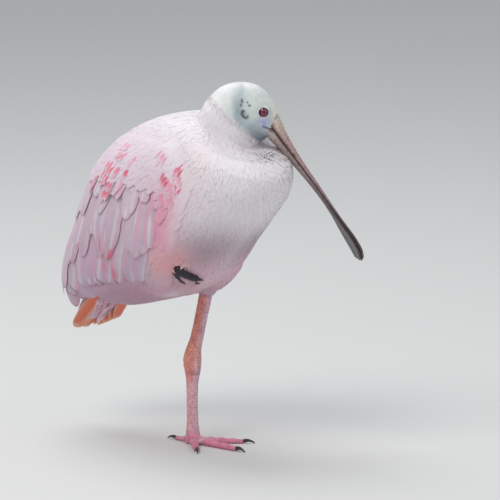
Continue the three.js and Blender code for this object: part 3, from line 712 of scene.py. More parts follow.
def copyOfNode(name):
    pick(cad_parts[name])
    bpy.ops.object.duplicate()
    copy = bpy.context.object
    copy.parent = None
    for key in [key for key in copy.keys() if key.startswith("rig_")]:
        del copy[key]
    return copy


def bodyInset(section, angle):
    return mix(skinShape["body"], skinShape["pocket"], underVanes(section, angle))


# The folded leg's end, which joins its toes to the body
def makeHeel():
    deselectAll()
    bpy.ops.mesh.primitive_ico_sphere_add(subdivisions=3, radius=1)
    heel = bpy.context.object
    section, angle = np.array(skinShape["heelSection"]), np.radians(skinShape["heelDegrees"])
    centre = formPoint(mantle, section, angle, skinShape["heelInset"])
    setCoordinates(heel, coordinates(heel) * np.array(skinShape["heel"]) * mm + centre)
    return heel


def joined(*pieces):
    pick(*pieces)
    bpy.ops.object.join()
    return bpy.context.object


def applied(piece, kind, **settings):
    pick(piece)
    modifier = piece.modifiers.new("shape", kind)
    for key, value in settings.items():
        setattr(modifier, key, value)
    bpy.ops.object.modifier_apply(modifier="shape")


def makeSkin():
    body = pieceFromForm("skin", mantle, skinShape["rear"], 12, bodyInset, 120, 110)
    throat = pieceFromForm("throat", neck, 0, 4, skinShape["neck"], 40, 30)
    head = pieceFromForm("headForm", skull, 0, 7, 0, 64, 48)
    limbs = [copyOfNode(name) for name in fleshNodes if name not in ("torso", "neck", "head")]
    target, toes = treeOf(*limbs), treeOf(limbs[-1])
    skin = joined(body, throat, head, makeHeel(), *limbs)
    skin.data.materials.clear()
    applied(skin, "REMESH", mode="VOXEL", voxel_size=skinShape["voxel"])
    applied(skin, "SMOOTH", factor=0.5, iterations=skinShape["smoothing"])
    return skin, target, toes


def selectFaces(piece, chosen):
    pick(piece)
    bpy.ops.object.mode_set(mode="EDIT")
    bpy.ops.mesh.select_mode(type="FACE")
    bpy.ops.mesh.select_all(action="DESELECT")
    bpy.ops.object.mode_set(mode="OBJECT")
    piece.data.polygons.foreach_set("select", chosen)
    bpy.ops.object.mode_set(mode="EDIT")


def faceCentres(piece):
    return meshValues(piece.data.polygons, "center", 3).astype(float)


def refine(piece, chosen, cuts):
    selectFaces(piece, chosen)
    bpy.ops.mesh.subdivide(number_cuts=cuts, smoothness=0)
    bpy.ops.mesh.vertices_smooth(factor=0.5, repeat=3)
    bpy.ops.object.mode_set(mode="OBJECT")


# Limbs back to their full thickness after the remesh
def sharpenLimbs(piece, target):
    centres = faceCentres(piece)
    refine(piece, (legness(centres) > 0) | (nearTucked(centres) > 0), 1)
    points = coordinates(piece)
    leg = legness(points)
    for i in np.flatnonzero((leg > 0) | (nearTucked(points) > 0)):
        place, _, _, distance = target.find_nearest(Vector(points[i]))
        pull = max(leg[i], 1 - fade(1.5 * mm, 3 * mm, distance))
        points[i] = mix(points[i], np.array(place), pull)
    setCoordinates(piece, points)


def rim(distance, height, place, width):
    return height * hump(distance, place, width)


# A lid over the ball with folds round it, and an opening sunk into the ball's socket
def sculptEye(x, z, out):
    distance = eyeDistance(x, z)
    ball, middle, edge = face["eyeBall"], face["eyePlace"][1], face["openingEdge"]
    lid = middle + np.sqrt(np.maximum((ball + face["lid"]) ** 2 - distance ** 2, 0))
    socket = middle + np.sqrt(np.maximum((ball - face["sunk"]) ** 2 - distance ** 2, 0))
    opened = 1 - fade(face["opening"] - edge, face["opening"] + edge, distance)
    raised = np.maximum(out, lid) + rim(distance, *face["lidRim"])
    folds = np.cos((distance - face["foldStart"]) * face["foldRate"])
    folded = raised + folds * rim(distance, *face["folds"])
    return np.where(distance < face["eyeReach"], mix(folded, socket, opened), out)


# Lids, ears and the corners of the mouth, pushed out or in from the sides of the head
def sculptHead(piece):
    centres = toHead(faceCentres(piece))
    fineX, fineZ = face["fineFrom"]
    refine(piece, (centres[:, 2] > fineZ) & (centres[:, 0] > fineX), face["cuts"])
    x, y, z = np.moveaxis(toHead(coordinates(piece)) / mm, -1, 0)
    out = np.abs(y)
    (earX, earZ), (earWide, earTall) = face["earPlace"], face["earSize"]
    ear = np.hypot((x - earX) / earWide, (z - earZ) / earTall)
    mouth = nearPath(x, z, face["mouth"])
    (jowlX, jowlZ), (jowlWide, jowlTall) = face["jowlAt"], face["jowlSize"]
    jowl = np.exp(-(((x - jowlX) / jowlWide) ** 2 + ((z - jowlZ) / jowlTall) ** 2))
    shaped = sculptEye(x, z, out)
    shaped = shaped - face["earDepth"] * np.exp(-ear ** 2 * face["earFall"]) + rim(ear, *face["earRim"])
    shaped = shaped - rim(mouth, face["mouthDepth"], 0, face["mouthWidth"]) + rim(mouth, *face["mouthRim"])
    shaped = shaped + face["jowl"] * np.sin((z + face["jowlSlant"] * x) * face["jowlRate"]) * jowl
    flankY, flankZ, flankX = face["flank"]
    flank = (out > flankY) & (z > flankZ) & (x > flankX)
    y = np.where(flank, np.sign(y) * shaped, y)
    setCoordinates(piece, turnAboutNeck(np.stack([x, y, z], -1) * mm, headYaw))


def onFoot(points):
    return nearTucked(points) * (points[..., 1] < 0)


# How far a place is from the tucked toes
def toeDistance(points):
    distance = np.full(len(points), 1.0)
    for i in np.flatnonzero(onFoot(points) > 0):
        distance[i] = toeTree.find_nearest(Vector(points[i]))[3]
    return distance


def colourSkin(piece):
    points = coordinates(piece)
    colours = mix(plumageColour(points), baldColour(points), bareness(points)[:, None])
    colours = mix(colours, legColour(points), legness(points)[:, None])
    close = onFoot(points) * fade(1.4 * mm, 0.6 * mm, toeDistance(points))
    foot = np.array(tuckedFoot["section"]), np.radians(tuckedFoot["degrees"])
    outwards = formSlopes(mantle, *foot)[2]
    for start, end, half in tuckedFoot["toes"]:
        start, end = [formPoint(mantle, np.array(at), np.radians(degrees)) for at, degrees in (start, end)]
        along = np.clip((points - start) @ (end - start) / ((end - start) ** 2).sum(), 0, 1)
        away = points - start - along[:, None] * (end - start)
        away = np.linalg.norm(away - outwards * (away @ outwards)[:, None], axis=-1)
        # Lighter bands along the dark toes are painted light on the cross ridges of the scutes
        beat = np.sin(2 * math.pi * along * np.linalg.norm(end - start) / tuckedFoot["scute"])
        dark = mix(palette["scute"], palette["scuteRidgeLight"], fade(0.1, 0.9, beat)[:, None])
        colours = mix(colours, dark, (close * fade((half + 1.3) * mm, (half + 0.2) * mm, away))[:, None])
    setTint(piece, colours)


# Small many-sided scales on the bare legs, and rings of scales over the toes
def legMaterial():
    material, tree, shader = newMaterial("legSkin", {
        "Roughness": 0.48, "Subsurface Weight": 0.08, "Subsurface Scale": 0.002,
    })
    place = objectPlace(tree)
    edges = {"Vector": place, "Scale": 330}
    cells = addNode(tree, "ShaderNodeTexVoronoi", edges, feature="DISTANCE_TO_EDGE")
    seam = mapRange(tree, cells.outputs["Distance"], (0, 0.12))
    reach = addNode(tree, "ShaderNodeVectorMath", {0: place}, operation="LENGTH").outputs["Value"]
    rings = calculate(tree, "SINE", calculate(tree, "MULTIPLY", reach, 2100))
    ring = mapRange(tree, rings, (-1, -0.5))
    height = addNode(tree, "ShaderNodeSeparateXYZ", {"Vector": place}).outputs["Z"]
    low = mapRange(tree, height, (12 * mm, 9 * mm))
    toes = calculate(tree, "MULTIPLY", mapRange(tree, reach, (12 * mm, 20 * mm)), low)
    scales = addNode(tree, "ShaderNodeMix", {0: toes, 2: seam, 3: ring}).outputs[0]
    colour = mottled(tree, tintOf(tree), 160, 0.3)
    shaded = brightened(tree, colour, mapRange(tree, scales, (0, 1), (0.62, 1)))
    tree.links.new(shaded, shader.inputs["Base Color"])
    addRelief(tree, shader, scales, 0.6, 0.5 * mm)
    return material


def dressSkin(piece):
    colourSkin(piece)
    piece.data.materials.append(skinMaterial())
    piece.data.materials.append(legMaterial())
    centres = faceCentres(piece)
    scaly = (legness(centres) > 0.5) | (onFoot(centres) > 0)
    piece.data.polygons.foreach_set("material_index", scaly.astype(np.int32))
    piece.data.polygons.foreach_set("use_smooth", np.ones(len(scaly), bool))
    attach(piece, "root")
    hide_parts(*fleshNodes)


skin, limbTree, toeTree = makeSkin()
sharpenLimbs(skin, limbTree)
sculptHead(skin)
dressSkin(skin)
print("skin", len(skin.data.polygons))


# Feathers: closed blades in rows of stations, from root to tip.
# A ring gives a blade's cut: across from -1 to 1, and height over its edges.

tuftRing = np.array([(-1, 0), (0, 1), (1, 0)], float)
vaneRing = np.array([
    (-1, 0), (-0.66, 0.55), (-0.3, 0.84), (-0.06, 0.9), (0, 1), (0.06, 0.9), (0.3, 0.84),
    (0.66, 0.55), (1, 0), (0.66, 0.43), (0.3, 0.7), (-0.3, 0.7), (-0.66, 0.43),
])
mapPatch = 0.003
vaneNumbers = 97


# Arrays of one batch of blades: centre and up are (count, stations, 3), half is (count, stations, 2)
# With a softness, a blade is shaded almost as the plumage that it lies in, as down is
def bladeArrays(centre, up, half, crown, ring, tint, rootMap, roll=0.0, softness=None):
    count, stations, _ = centre.shape
    direction = unit(np.gradient(centre, axis=1))
    side = unit(np.cross(up, direction))
    up = unit(np.cross(direction, side))
    side, up = side * math.cos(roll) + up * math.sin(roll), up * math.cos(roll) - side * math.sin(roll)
    reach = np.where(ring[:, 0] < 0, half[..., :1], half[..., 1:]) * ring[:, 0]
    points = centre[:, :, None] + side[:, :, None] * reach[..., None]
    points = points + up[:, :, None] * (crown[..., None] * ring[:, 1])[..., None]
    index = np.arange(count * stations * len(ring)).reshape(count, stations, len(ring))
    following = np.roll(index, -1, axis=2)
    quads = np.stack([index[:, :-1], index[:, 1:], following[:, 1:], following[:, :-1]], -1).reshape(-1, 4)
    along = np.broadcast_to(np.linspace(0, 1, stations)[None, :, None], index.shape)
    across = np.broadcast_to((ring[:, 0] * 0.49 + 0.5)[None, None], index.shape)
    number = np.broadcast_to(np.arange(count)[:, None, None] % vaneNumbers, index.shape)
    bake = rootMap[:, None, None] + mapPatch * np.stack([across, along], -1)
    normals = None
    if softness is not None:
        normals = unit(up[:, :, None] + side[:, :, None] * (softness * ring[:, 0])[:, None]).reshape(-1, 3)
    return {
        "normals": normals,
        "points": points.reshape(-1, 3), "faces": [quads, index[:, 0], index[:, -1, ::-1]],
        "bake": bake.reshape(-1, 2), "vane": np.stack([number + across, along], -1).reshape(-1, 2),
        "tint": np.broadcast_to(tint, index.shape + (3,)).reshape(-1, 3),
    }


# Each face takes the normals given, turned to its own side
def softenShading(piece, normals, loops):
    sizes = meshValues(piece.data.polygons, "loop_total", kind=np.int32)
    facing = np.repeat(meshValues(piece.data.polygons, "normal", 3), sizes, axis=0)
    wanted = normals[loops]
    wanted = np.where((wanted * facing).sum(-1, keepdims=True) < 0, -wanted, wanted)
    piece.data.normals_split_custom_set(wanted)


def bladePiece(name, batches, material, replaced=()):
    points, faces, offset = [], [], 0
    for batch in batches:
        points.append(batch["points"])
        faces += [polygons + offset for polygons in batch["faces"]]
        offset += len(batch["points"])
    piece, loops = pieceFromArrays(name, np.concatenate(points), faces)
    for layer, key in (("OFBake", "bake"), ("vane", "vane")):
        addUv(piece, layer, np.concatenate([batch[key] for batch in batches]), loops)
    setTint(piece, np.concatenate([batch["tint"] for batch in batches]))
    if batches[0]["normals"] is not None:
        softenShading(piece, np.concatenate([batch["normals"] for batch in batches]), loops)
    piece.data.materials.append(material)
    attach(piece, "root")
    if replaced:
        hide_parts(*replaced)
    return piece


# The unwrap: the mantle, the neck and the skull each by their own section and angle, in rows of the map
chartRows = {"mantle": (mantle, 0.0, 0.62), "neck": (neck, 0.64, 0.14), "skull": (skull, 0.80, 0.18)}


def chartPlace(name, section, angle):
    form, start, height = chartRows[name]
    turn = (angle / (2 * math.pi)) % 1
    return np.stack([0.01 + 0.97 * turn, start + height * section / form["last"]], -1)


def makeChart():
    places, values = [], []
    for name, (form, _, _) in chartRows.items():
        grid = np.meshgrid(np.arange(0, form["last"] + 0.01, 0.1), np.radians(np.arange(-180, 180, 3)))
        section, angle = (axis.ravel() for axis in grid)
        onMantle = name == "mantle"
        places.append(formPoint(form, section, angle, skinShape["body" if onMantle else "neck"]))
        place = chartPlace(name, section, angle)
        values.append(np.column_stack([place, section, angle, np.full(len(section), float(onMantle))]))
    places, values = np.concatenate(places), np.concatenate(values)
    tree = KDTree(len(places))
    for i, place in enumerate(places):
        tree.insert(place, i)
    tree.balance()
    return tree, values


chartTree, chartValues = makeChart()


def chartOf(points):
    return chartValues[[chartTree.find(point)[1] for point in points]]


# Coat: soft blades rooted on the skin, which they follow

coatZones = {
    "body": {"length": 19, "width": 4.2, "rise": 3.0, "spacing": 2.4},
    "breast": {"length": 16, "width": 3.2, "rise": 3.0, "spacing": 2.0},
    "neck": {"length": 11, "width": 2.3, "rise": 2.2, "spacing": 1.55},
    "edge": {"length": 4.5, "width": 1.1, "rise": 0.5, "spacing": 1.05},
    "thigh": {"length": 13, "width": 2.4, "rise": 1.2, "spacing": 1.8},
    "throat": {"length": 13, "width": 3.2, "rise": 5.6, "spacing": 1.6},
    "toes": {"length": 5, "width": 2.4, "rise": 0.8, "spacing": 1.4},
}
toeGap = {"clear": 1.6 * mm, "near": 4 * mm, "far": 14 * mm}
coat = {
    "stations": [0, 0.42, 0.8, 1], "outline": [0.5, 1, 0.8, 0.12], "crown": 0.16, "softness": 0.3,
    "quickSpacing": 1.7, "hiddenPast": 0.8, "seed": 5, "rootHeight": 0.6, "lowest": 0.35,
    "turnWaves": 0.12, "turnStray": 0.06, "riseWaves": 0.3, "jitter": 0.35,
}
# Ways that the coat lies: over the back, down the breast and thigh, and for collar and neck outwards and up
lie = {
    "back": (-0.85, 0, -0.52), "breast": (-0.48, 0, -0.88), "thigh": (-0.15, 0, -1.0),
    "collar": (0.75, -0.66), "neck": (-0.3, -0.95),
}


# One value of the zones at each place
def zoneValue(points, key):
    x, z = points[:, 0] / mm, points[:, 2] / mm
    value = mix(coatZones["body"][key], coatZones["breast"][key], fade(10, 60, x) * fade(345, 320, z))
    value = mix(value, coatZones["neck"][key], neckness(points))
    value = mix(value, coatZones["throat"][key], spot(toHead(points), (37, 0, 304), (13, 20, 11)))
    value = mix(value, coatZones["thigh"][key], thighness(points))
    value = mix(value, coatZones["toes"][key], fade(toeGap["far"], toeGap["near"], toeDistance(points)))
    return mix(value, coatZones["edge"][key], fade(0.0, 0.5, bareness(points)))


# Smooth waves over the plumage, between -1 and 1
def ripple(points, wavelength, phase):
    x, y, z = np.moveaxis(points / (wavelength * mm), -1, 0)
    waves = np.sin(5.1 * x + 3.7 * z + phase) + np.sin(4.3 * y - 5.9 * z + 2 * phase)
    return (waves + np.sin(6.7 * z - 3.1 * x + y)) / 3


# The lie of the coat: tailwards on the body, down on the breast and thigh, back and down on the neck
def lieOf(points, normal, turn):
    x, y, z = np.moveaxis(points / mm, -1, 0)
    flank = 0.8 * fade(25, 60, np.abs(y)) * fade(140, 190, z)
    steep = np.maximum(fade(10, 90, x) * fade(335, 290, z), flank)
    wish = mix(np.array(lie["back"]), np.array(lie["breast"]), steep[:, None])
    away = np.stack([x - neckAxisX / mm, y, np.zeros(len(x))], -1)
    collar = fade(78, 46, np.linalg.norm(away, axis=-1)) * fade(248, 272, z)
    outwards, up = lie["collar"]
    wish = mix(wish, unit(away) * outwards + np.array([0, 0, up]), collar[:, None])
    yaw = math.radians(headYaw)
    outwards, up = lie["neck"]
    downNeck = np.array([outwards * math.cos(yaw), outwards * math.sin(yaw), up])
    wish = mix(wish, downNeck, neckness(points)[:, None])
    wish = mix(wish, np.array(lie["thigh"]), thighness(points)[:, None])
    wish = unit(wish - normal * (wish * normal).sum(-1, keepdims=True))
    return unit(wish + np.cross(normal, wish) * turn[:, None])


# A normal for each face, as the mean of its corners' smooth normals
def smoothNormals(piece):
    normals = meshValues(piece.data.vertex_normals, "vector", 3).astype(float)
    corners = meshValues(piece.data.loops, "vertex_index", kind=np.int32)
    starts = meshValues(piece.data.polygons, "loop_start", kind=np.int32)
    return unit(np.add.reduceat(normals[corners], starts, axis=0))


skinTree = treeOf(skin)
skinNormals = smoothNormals(skin)


def snap(points):
    found = [skinTree.find_nearest(Vector(point)) for point in points]
    return np.array([place for place, _, _, _ in found]), skinNormals[[number for _, _, number, _ in found]]


# Roots spread evenly by area, at a spacing that changes from place to place
def rootsOnSkin(draw):
    centres = faceCentres(skin)
    areas = meshValues(skin.data.polygons, "area")
    spacing = zoneValue(centres, "spacing") * 1 * mm
    feathered = (bareness(centres) < 0.97) & (legness(centres) < 0.3)
    share = np.cumsum(areas * feathered / spacing ** 2)
    numbers = np.searchsorted(share, np.arange(int(share[-1])) + draw.random(int(share[-1])))
    numbers = np.minimum(numbers, len(centres) - 1)
    jitter = draw.normal(0, coat["jitter"], (len(numbers), 3)) * np.sqrt(areas[numbers])[:, None]
    return snap(centres[numbers] + jitter)


def keepCoat(points, chart, draw):
    hidden = chart[:, 4] * underVanes(chart[:, 2], chart[:, 3]) > coat["hiddenPast"]
    thinning = draw.random(len(points)) < fade(0.15, 0.95, bareness(points))
    return ~(hidden | thinning | (toeDistance(points) < toeGap["clear"]))


def coatBlades(points, normal, rootMap, sizes, draw):
    count = len(points)
    t = np.array(coat["stations"])
    turn = coat["turnWaves"] * ripple(points, 34, 1.3) + coat["turnStray"] * draw.uniform(-1, 1, count)
    length = sizes["length"] * mm * draw.uniform(0.75, 1.2, count)
    rise = sizes["rise"] * draw.uniform(0.9, 1.05, count) + coat["riseWaves"] * ripple(points, 40, 0.4)
    rise = np.maximum(rise, coat["lowest"]) * mm
    centre, up = [], []
    place, direction = points, lieOf(points, normal, turn)
    for step, station in zip(np.diff(t, prepend=0), t):
        if step > 0:
            place, normal = snap(place + direction * (length * step)[:, None])
            direction = lieOf(place, normal, turn)
        centre.append(place + normal * (rise * mix(coat["rootHeight"], 1, station ** 0.7))[:, None])
        up.append(normal)
    half = (sizes["width"] * mm / 2 * draw.uniform(0.8, 1.2, count))[:, None] * np.array(coat["outline"])
    centre, up = np.stack(centre, 1), np.stack(up, 1)
    middle = centre[:, len(t) // 2]
    colours = mix(plumageColour(middle), baldColour(middle), fade(0.3, 1, bareness(middle))[:, None])
    tint = colours[:, None, None] * draw.uniform(0.95, 1.0, count)[:, None, None, None]
    shade = mix(0.93, 1.0, fade(0, 0.8, t))[None, :, None, None]
    return bladeArrays(
        centre, up, np.stack([half, half], -1), half * coat["crown"], tuftRing, tint * shade, rootMap,
        softness=coat["softness"],
    )


def makeCoat():
    draw = np.random.default_rng(coat["seed"])
    points, normal = rootsOnSkin(draw)
    chart = chartOf(points)
    kept = keepCoat(points, chart, draw)
    points, normal, chart = points[kept], normal[kept], chart[kept]
    sizes = {key: zoneValue(points, key) for key in ("length", "width", "rise")}
    leftSide = points[:, 1] > 0
    onNeck = neckness(points) > 0.5
    low = (chart[:, 4] > 0) & (degreesAside(chart[:, 3]) > 100)
    parts = {"neck": onNeck, "breast": ~onNeck & low & (points[:, 0] > 20 * mm)}
    parts["belly"] = ~onNeck & low & ~parts["breast"]
    parts["back"] = ~onNeck & ~low
    for name, chosen in parts.items():
        for side, wanted in (("Left", leftSide), ("Right", ~leftSide)):
            mask = chosen & wanted
            chosenSizes = {key: values[mask] for key, values in sizes.items()}
            batch = coatBlades(points[mask], normal[mask], chart[mask, :2], chosenSizes, draw)
            bladePiece(name + "Coat" + side, [batch], softMaterial)
            print(name + "Coat" + side, mask.sum())


softMaterial = plumageMaterial("softPlumage", 40, 0.15, (45, 0.05))
makeCoat()
print("coat done")


# Long feathers

vaneSpread = {
    "sections": 0.26, "degrees": 1.8, "roll": 3.2, "wrap": 0.9, "tip": 0.74, "notches": 3,
    "notchWidth": 0.025, "softness": 0.3,
}


# Half widths along a batch of vanes, with a few small splits between the barbs
def vaneOutline(count, t, width, draw):
    tip = vaneSpread["tip"]
    rounding = np.sqrt(np.maximum(0, 1 - (np.maximum(t - tip, 0) / (1.02 - tip)) ** 2))
    outline = mix(0.45, 1, fade(0, 0.45, t)) * rounding
    half = np.broadcast_to(outline[None, :, None] * width / 2, (count, len(t), 2)).copy()
    for _ in range(vaneSpread["notches"]):
        place = draw.uniform(0.3, 0.97, (count, 1, 2))
        depth = draw.uniform(0.02, 0.1, (count, 1, 2))
        half *= 1 - depth * hump(t[None, :, None], place, vaneSpread["notchWidth"])
    return half


# The deep pink edge that shows low on the folded wing: colour, centre, reach, strength
accents = [
    ("carmine", (-52, -76, 200), (7, 10, 16), 0.8),
    ("carmine", (-47, -64, 174), (8, 10, 9), 0.8),
    ("rose", (19, -73, 231), (12, 14, 27), 0.8),
]


# Colour over a vane: pale or mauve by its place, pinker along the edges, greyer down the middle, with a
# dark rim painted as shadow at the tip
def vaneTint(centre, ring, t, style, draw):
    aside = np.abs(ring[:, 0])[None, None]
    t = t[None, :, None]
    pale = draw.uniform(0, 1, (len(centre), 1, 1))
    streak = hump(ring[:, 0][None, None], draw.uniform(-0.6, 0.6, (len(centre), 1, 1)), 0.16)
    layers = [
        ("mauve", style["mauve"] * (0.55 + 0.45 * t) * mix(1, 0.6, pale)),
        ("greyMauve", style["grey"] * (1 - aside) * fade(0.1, 0.6, t)),
        ("rose", style["rose"] * fade(0.45, 0.9, aside) * mix(0.4, 1, pale)),
        ("white", style["streak"] * streak * fade(0.2, 0.5, t)),
        # Painted shadow: a dark rim along the very tip
        ("dusk", style["dusk"] * fade(0.965, 1, t) * mix(0.2, 1, pale)),
    ]
    for accent, middle, reach, amount in accents:
        near = spot(mirrored(centre), middle, reach)[:, :, None]
        layers.append((accent, amount * near * fade(0.1, 0.6, aside)))
    colours = plumageColour(centre)[:, :, None]
    for colour, amount in layers:
        colours = tinted(colours, colour, amount)
    return colours


wingTiers = {
    "primaries": {
        "count": 6, "roots": [(4.6, 104), (4.2, 74)], "tips": [(1.7, 118), (0.2, 76)],
        "width": 27, "depth": (7.6, 5.0), "crown": 0.7,
        "style": {"mauve": 0.85, "grey": 0.5, "rose": 0.35, "streak": 0.1, "dusk": 0.3},
    },
    "secondaries": {
        "count": 11, "roots": [(8.2, 92), (5.1, 42)], "tips": [(4.9, 146), (1.1, 86)],
        "width": 28, "depth": (6.6, 3.0), "crown": 0.75,
        "style": {"mauve": 0.8, "grey": 0.75, "rose": 0.6, "streak": 0.4, "dusk": 0.7},
    },
    "tertials": {
        "count": 5, "roots": [(5.2, 36), (4.9, 13)], "tips": [(0.9, 62), (1.2, 11)],
        "width": 31, "depth": (4.2, 1.0), "crown": 0.8,
        "style": {"mauve": 0.65, "grey": 0.5, "rose": 0.3, "streak": 0.35, "dusk": 0.2},
    },
    "greaterCoverts": {
        "count": 17, "roots": [(8.2, 92), (5.1, 42)], "tips": [(6.3, 124), (2.8, 68)], "stray": 2.6,
        "width": 19, "depth": (4.8, 1.6), "crown": 0.7,
        "style": {"mauve": 0.5, "grey": 0.5, "rose": 0.45, "streak": 0.6, "dusk": 0.0},
    },
    "medianCoverts": {
        "count": 19, "roots": [(8.5, 86), (5.5, 34)], "tips": [(7.4, 107), (4.1, 52)], "stray": 2.2,
        "width": 16, "depth": (3.2, 0.6), "crown": 0.6,
        "style": {"mauve": 0.3, "grey": 0.35, "rose": 0.35, "streak": 0.6, "dusk": 0.0},
    },
}


def tierBatch(tier, side, draw):
    count = tier["count"]
    k = np.linspace(0, 1, count)[:, None]
    root = mix(np.array(tier["roots"][0], float), np.array(tier["roots"][1]), k)
    tip = mix(np.array(tier["tips"][0], float), np.array(tier["tips"][1]), k)
    stray = tier.get("stray", 1)
    tip += draw.uniform(-stray, stray, (count, 2)) * (vaneSpread["sections"], vaneSpread["degrees"])
    t = np.linspace(0, 1, 22) ** 0.85
    section = mix(root[:, :1], tip[:, :1], t)
    angle = np.radians(mix(root[:, 1:], tip[:, 1:], t)) * side
    normal = formSlopes(mantle, section, angle)[2]
    half = vaneOutline(count, t, tier["width"] * mm, draw)
    girth = splineAt(mantle["rows"], section / mantle["last"])[..., 4]
    arch = vaneSpread["wrap"] * half.mean(-1) ** 2 / (2 * girth)
    centre = formPoint(mantle, section, angle) - normal * (mix(*tier["depth"], t) * mm + arch)[..., None]
    crown = half.mean(-1) / (tier["width"] * mm / 2) * tier["crown"] * mm + arch
    tint = vaneTint(centre, vaneRing, t, tier["style"], draw)
    rootMap = chartPlace("mantle", section[:, 0], angle[:, 0])
    roll = math.radians(vaneSpread["roll"]) * side
    return bladeArrays(centre, normal, half, crown, vaneRing, tint, rootMap, roll, vaneSpread["softness"])


# Small coverts over the forearm, between the plumage of the back and the rows of longer feathers
lesserCoverts = {
    "sections": (5.2, 9.0), "degrees": (20, 112), "count": 620, "length": 20, "width": 8, "rise": 0.5,
    "root": 3.0, "above": 4, "below": 6, "ahead": -0.4,
}
# Steps that spread a row of numbers evenly over a square
evenSteps = (0.7548776662, 0.5698402909)


def smallVanes(section, angle, sizes, colours, draw, stations=7, under=None, sunk=0.0):
    count = len(section)
    along, around, normal = formSlopes(mantle, section, angle)
    points = formPoint(mantle, section, angle)
    wish = lieOf(points, normal, 0.15 * draw.uniform(-1, 1, count))
    a, b, c = (along ** 2).sum(-1), (along * around).sum(-1), (around ** 2).sum(-1)
    p, q = (wish * along).sum(-1), (wish * around).sum(-1)
    length = sizes["length"] * mm * draw.uniform(0.85, 1.15, count) / (a * c - b * b)
    stepSection, stepAngle = (p * c - q * b) * length, (a * q - b * p) * length
    t = np.linspace(0, 1, stations)
    sections = section[:, None] + stepSection[:, None] * (t - 0.5)
    angles = angle[:, None] + stepAngle[:, None] * (t - 0.5)
    inset = (mix(sizes["root"], -sizes["rise"], t ** 0.6) + np.reshape(sunk, (-1, 1))) * mm
    centre = formPoint(mantle, sections, angles, inset)
    normal = formSlopes(mantle, sections, angles)[2]
    half = vaneOutline(count, t, sizes["width"] * mm, draw)
    crown = half.mean(-1) * 0.16
    rootMap = chartPlace("mantle", section, angle)
    shade = mix(0.92, 1, fade(0, 0.7, t))[None, :, None, None] * draw.uniform(0.95, 1, (count, 1, 1, 1))
    tint = colours[:, None, None]
    if under is not None:
        along = fade(0.08, 0.5, t) * fade(1.0, 0.68, t)
        across = fade(1.0, 0.35, np.abs(vaneRing[:, 0]))
        tint = mix(under[:, None, None], tint, (along[:, None] * across)[None, :, :, None])
    return bladeArrays(centre, normal, half, crown, vaneRing, tint * shade, rootMap, softness=0.3)


def lesserBatch(side, draw):
    sizes = lesserCoverts
    index = np.arange(sizes["count"])
    section = mix(*sizes["sections"], (0.5 + index * evenSteps[0]) % 1)
    degrees = mix(*sizes["degrees"], (0.5 + index * evenSteps[1]) % 1)
    kept = section - armSection(degrees) > sizes["ahead"]
    kept &= degrees > wingTop(section) - sizes["above"]
    kept &= degrees < wingBottom(section) + sizes["below"]
    section, angle = section[kept], np.radians(degrees[kept]) * side
    colours = plumageColour(formPoint(mantle, section, angle))
    return smallVanes(section, angle, sizes, colours, draw)


# Soft flank feathers along the front edge of the long feathers, sunk towards them where they lie over them
flankFringe = {
    "sections": (4.6, 8.9), "margin": (-15, 10), "sink": 5, "count": 640, "length": 22, "width": 6,
    "rise": 0.7, "root": 2.0,
}


def fringeBatch(side, draw):
    sizes = flankFringe
    section = mix(*sizes["sections"], draw.random(sizes["count"]))
    margin = mix(*sizes["margin"], draw.random(sizes["count"]) ** 0.7)
    angle = np.radians(wingBottom(section) + margin) * side
    colours = plumageColour(formPoint(mantle, section, angle))
    sunk = sizes["sink"] * fade(2, sizes["margin"][0], margin)
    return smallVanes(section, angle, sizes, colours, draw, 5, sunk=sunk)


# Deep pink feathers among the small coverts: section, degrees, colour, strength, how many, how far apart
coloured = [
    (6.50, 54, "carmine", 0.85, 4, 5.0), (6.05, 56, "carmine", 0.9, 5, 4.4),
    (5.85, 61, "carmine", 0.9, 5, 4.6), (6.30, 64, "carmine", 0.8, 5, 5.0),
    (6.62, 70, "carmine", 1.0, 4, 3.2), (5.35, 57, "carmine", 0.7, 5, 5.4),
    (5.95, 70, "carmine", 0.9, 4, 4.0), (5.70, 75, "carmine", 0.8, 5, 4.6),
    (6.95, 64, "rose", 0.9, 5, 5.0), (6.75, 47, "rose", 0.6, 5, 5.0),
    (8.20, 70, "rose", 0.6, 5, 5.5), (6.2, 78, "rose", 0.7, 5, 5.0),
    (7.90, 90, "carmine", 1.0, 6, 2.6), (8.60, 86, "carmine", 1.0, 9, 3.4),
    (8.25, 98, "carmine", 1.0, 8, 3.6), (8.40, 92, "rose", 0.8, 7, 5.0),
    (7.65, 101, "rose", 0.85, 9, 6.0), (7.95, 96, "rose", 0.8, 8, 6.0),
    (7.2, 106, "rose", 0.6, 8, 7.0),
]
colouredShape = {"length": 18, "width": 4.6, "rise": 0.9, "root": 0.5}


def colouredBatch(side, draw):
    section, degrees, colours = [], [], []
    for centre, aside, colour, strength, count, spread in coloured:
        section.append(centre + draw.normal(0, spread / 60, count))
        degrees.append(aside + draw.normal(0, spread / 2.2, count))
        amount = strength * draw.uniform(0.55, 1, count)
        colours.append(tinted(np.broadcast_to(palette["pink"], (count, 3)), colour, amount))
    section, angle = np.concatenate(section), np.radians(np.concatenate(degrees)) * side
    under = plumageColour(formPoint(mantle, section, angle))
    return smallVanes(section, angle, colouredShape, np.concatenate(colours), draw, 9, under)


def makeWings():
    for name, side, seed in (("Left", 1, 23), ("Right", -1, 37)):
        draw = np.random.default_rng(seed)
        batches = [tierBatch(tier, side, draw) for tier in wingTiers.values()]
        bladePiece("wing" + name, batches, vaneMaterial, ["wing_" + name.lower()])
        batches = [lesserBatch(side, draw), fringeBatch(side, draw), colouredBatch(side, draw)]
        bladePiece("smallCoverts" + name, batches, softMaterial)


vaneMaterial = plumageMaterial("wingPlumage", 260, 0.35, (60, 0.12))
makeWings()
print("wings done")


# Tail

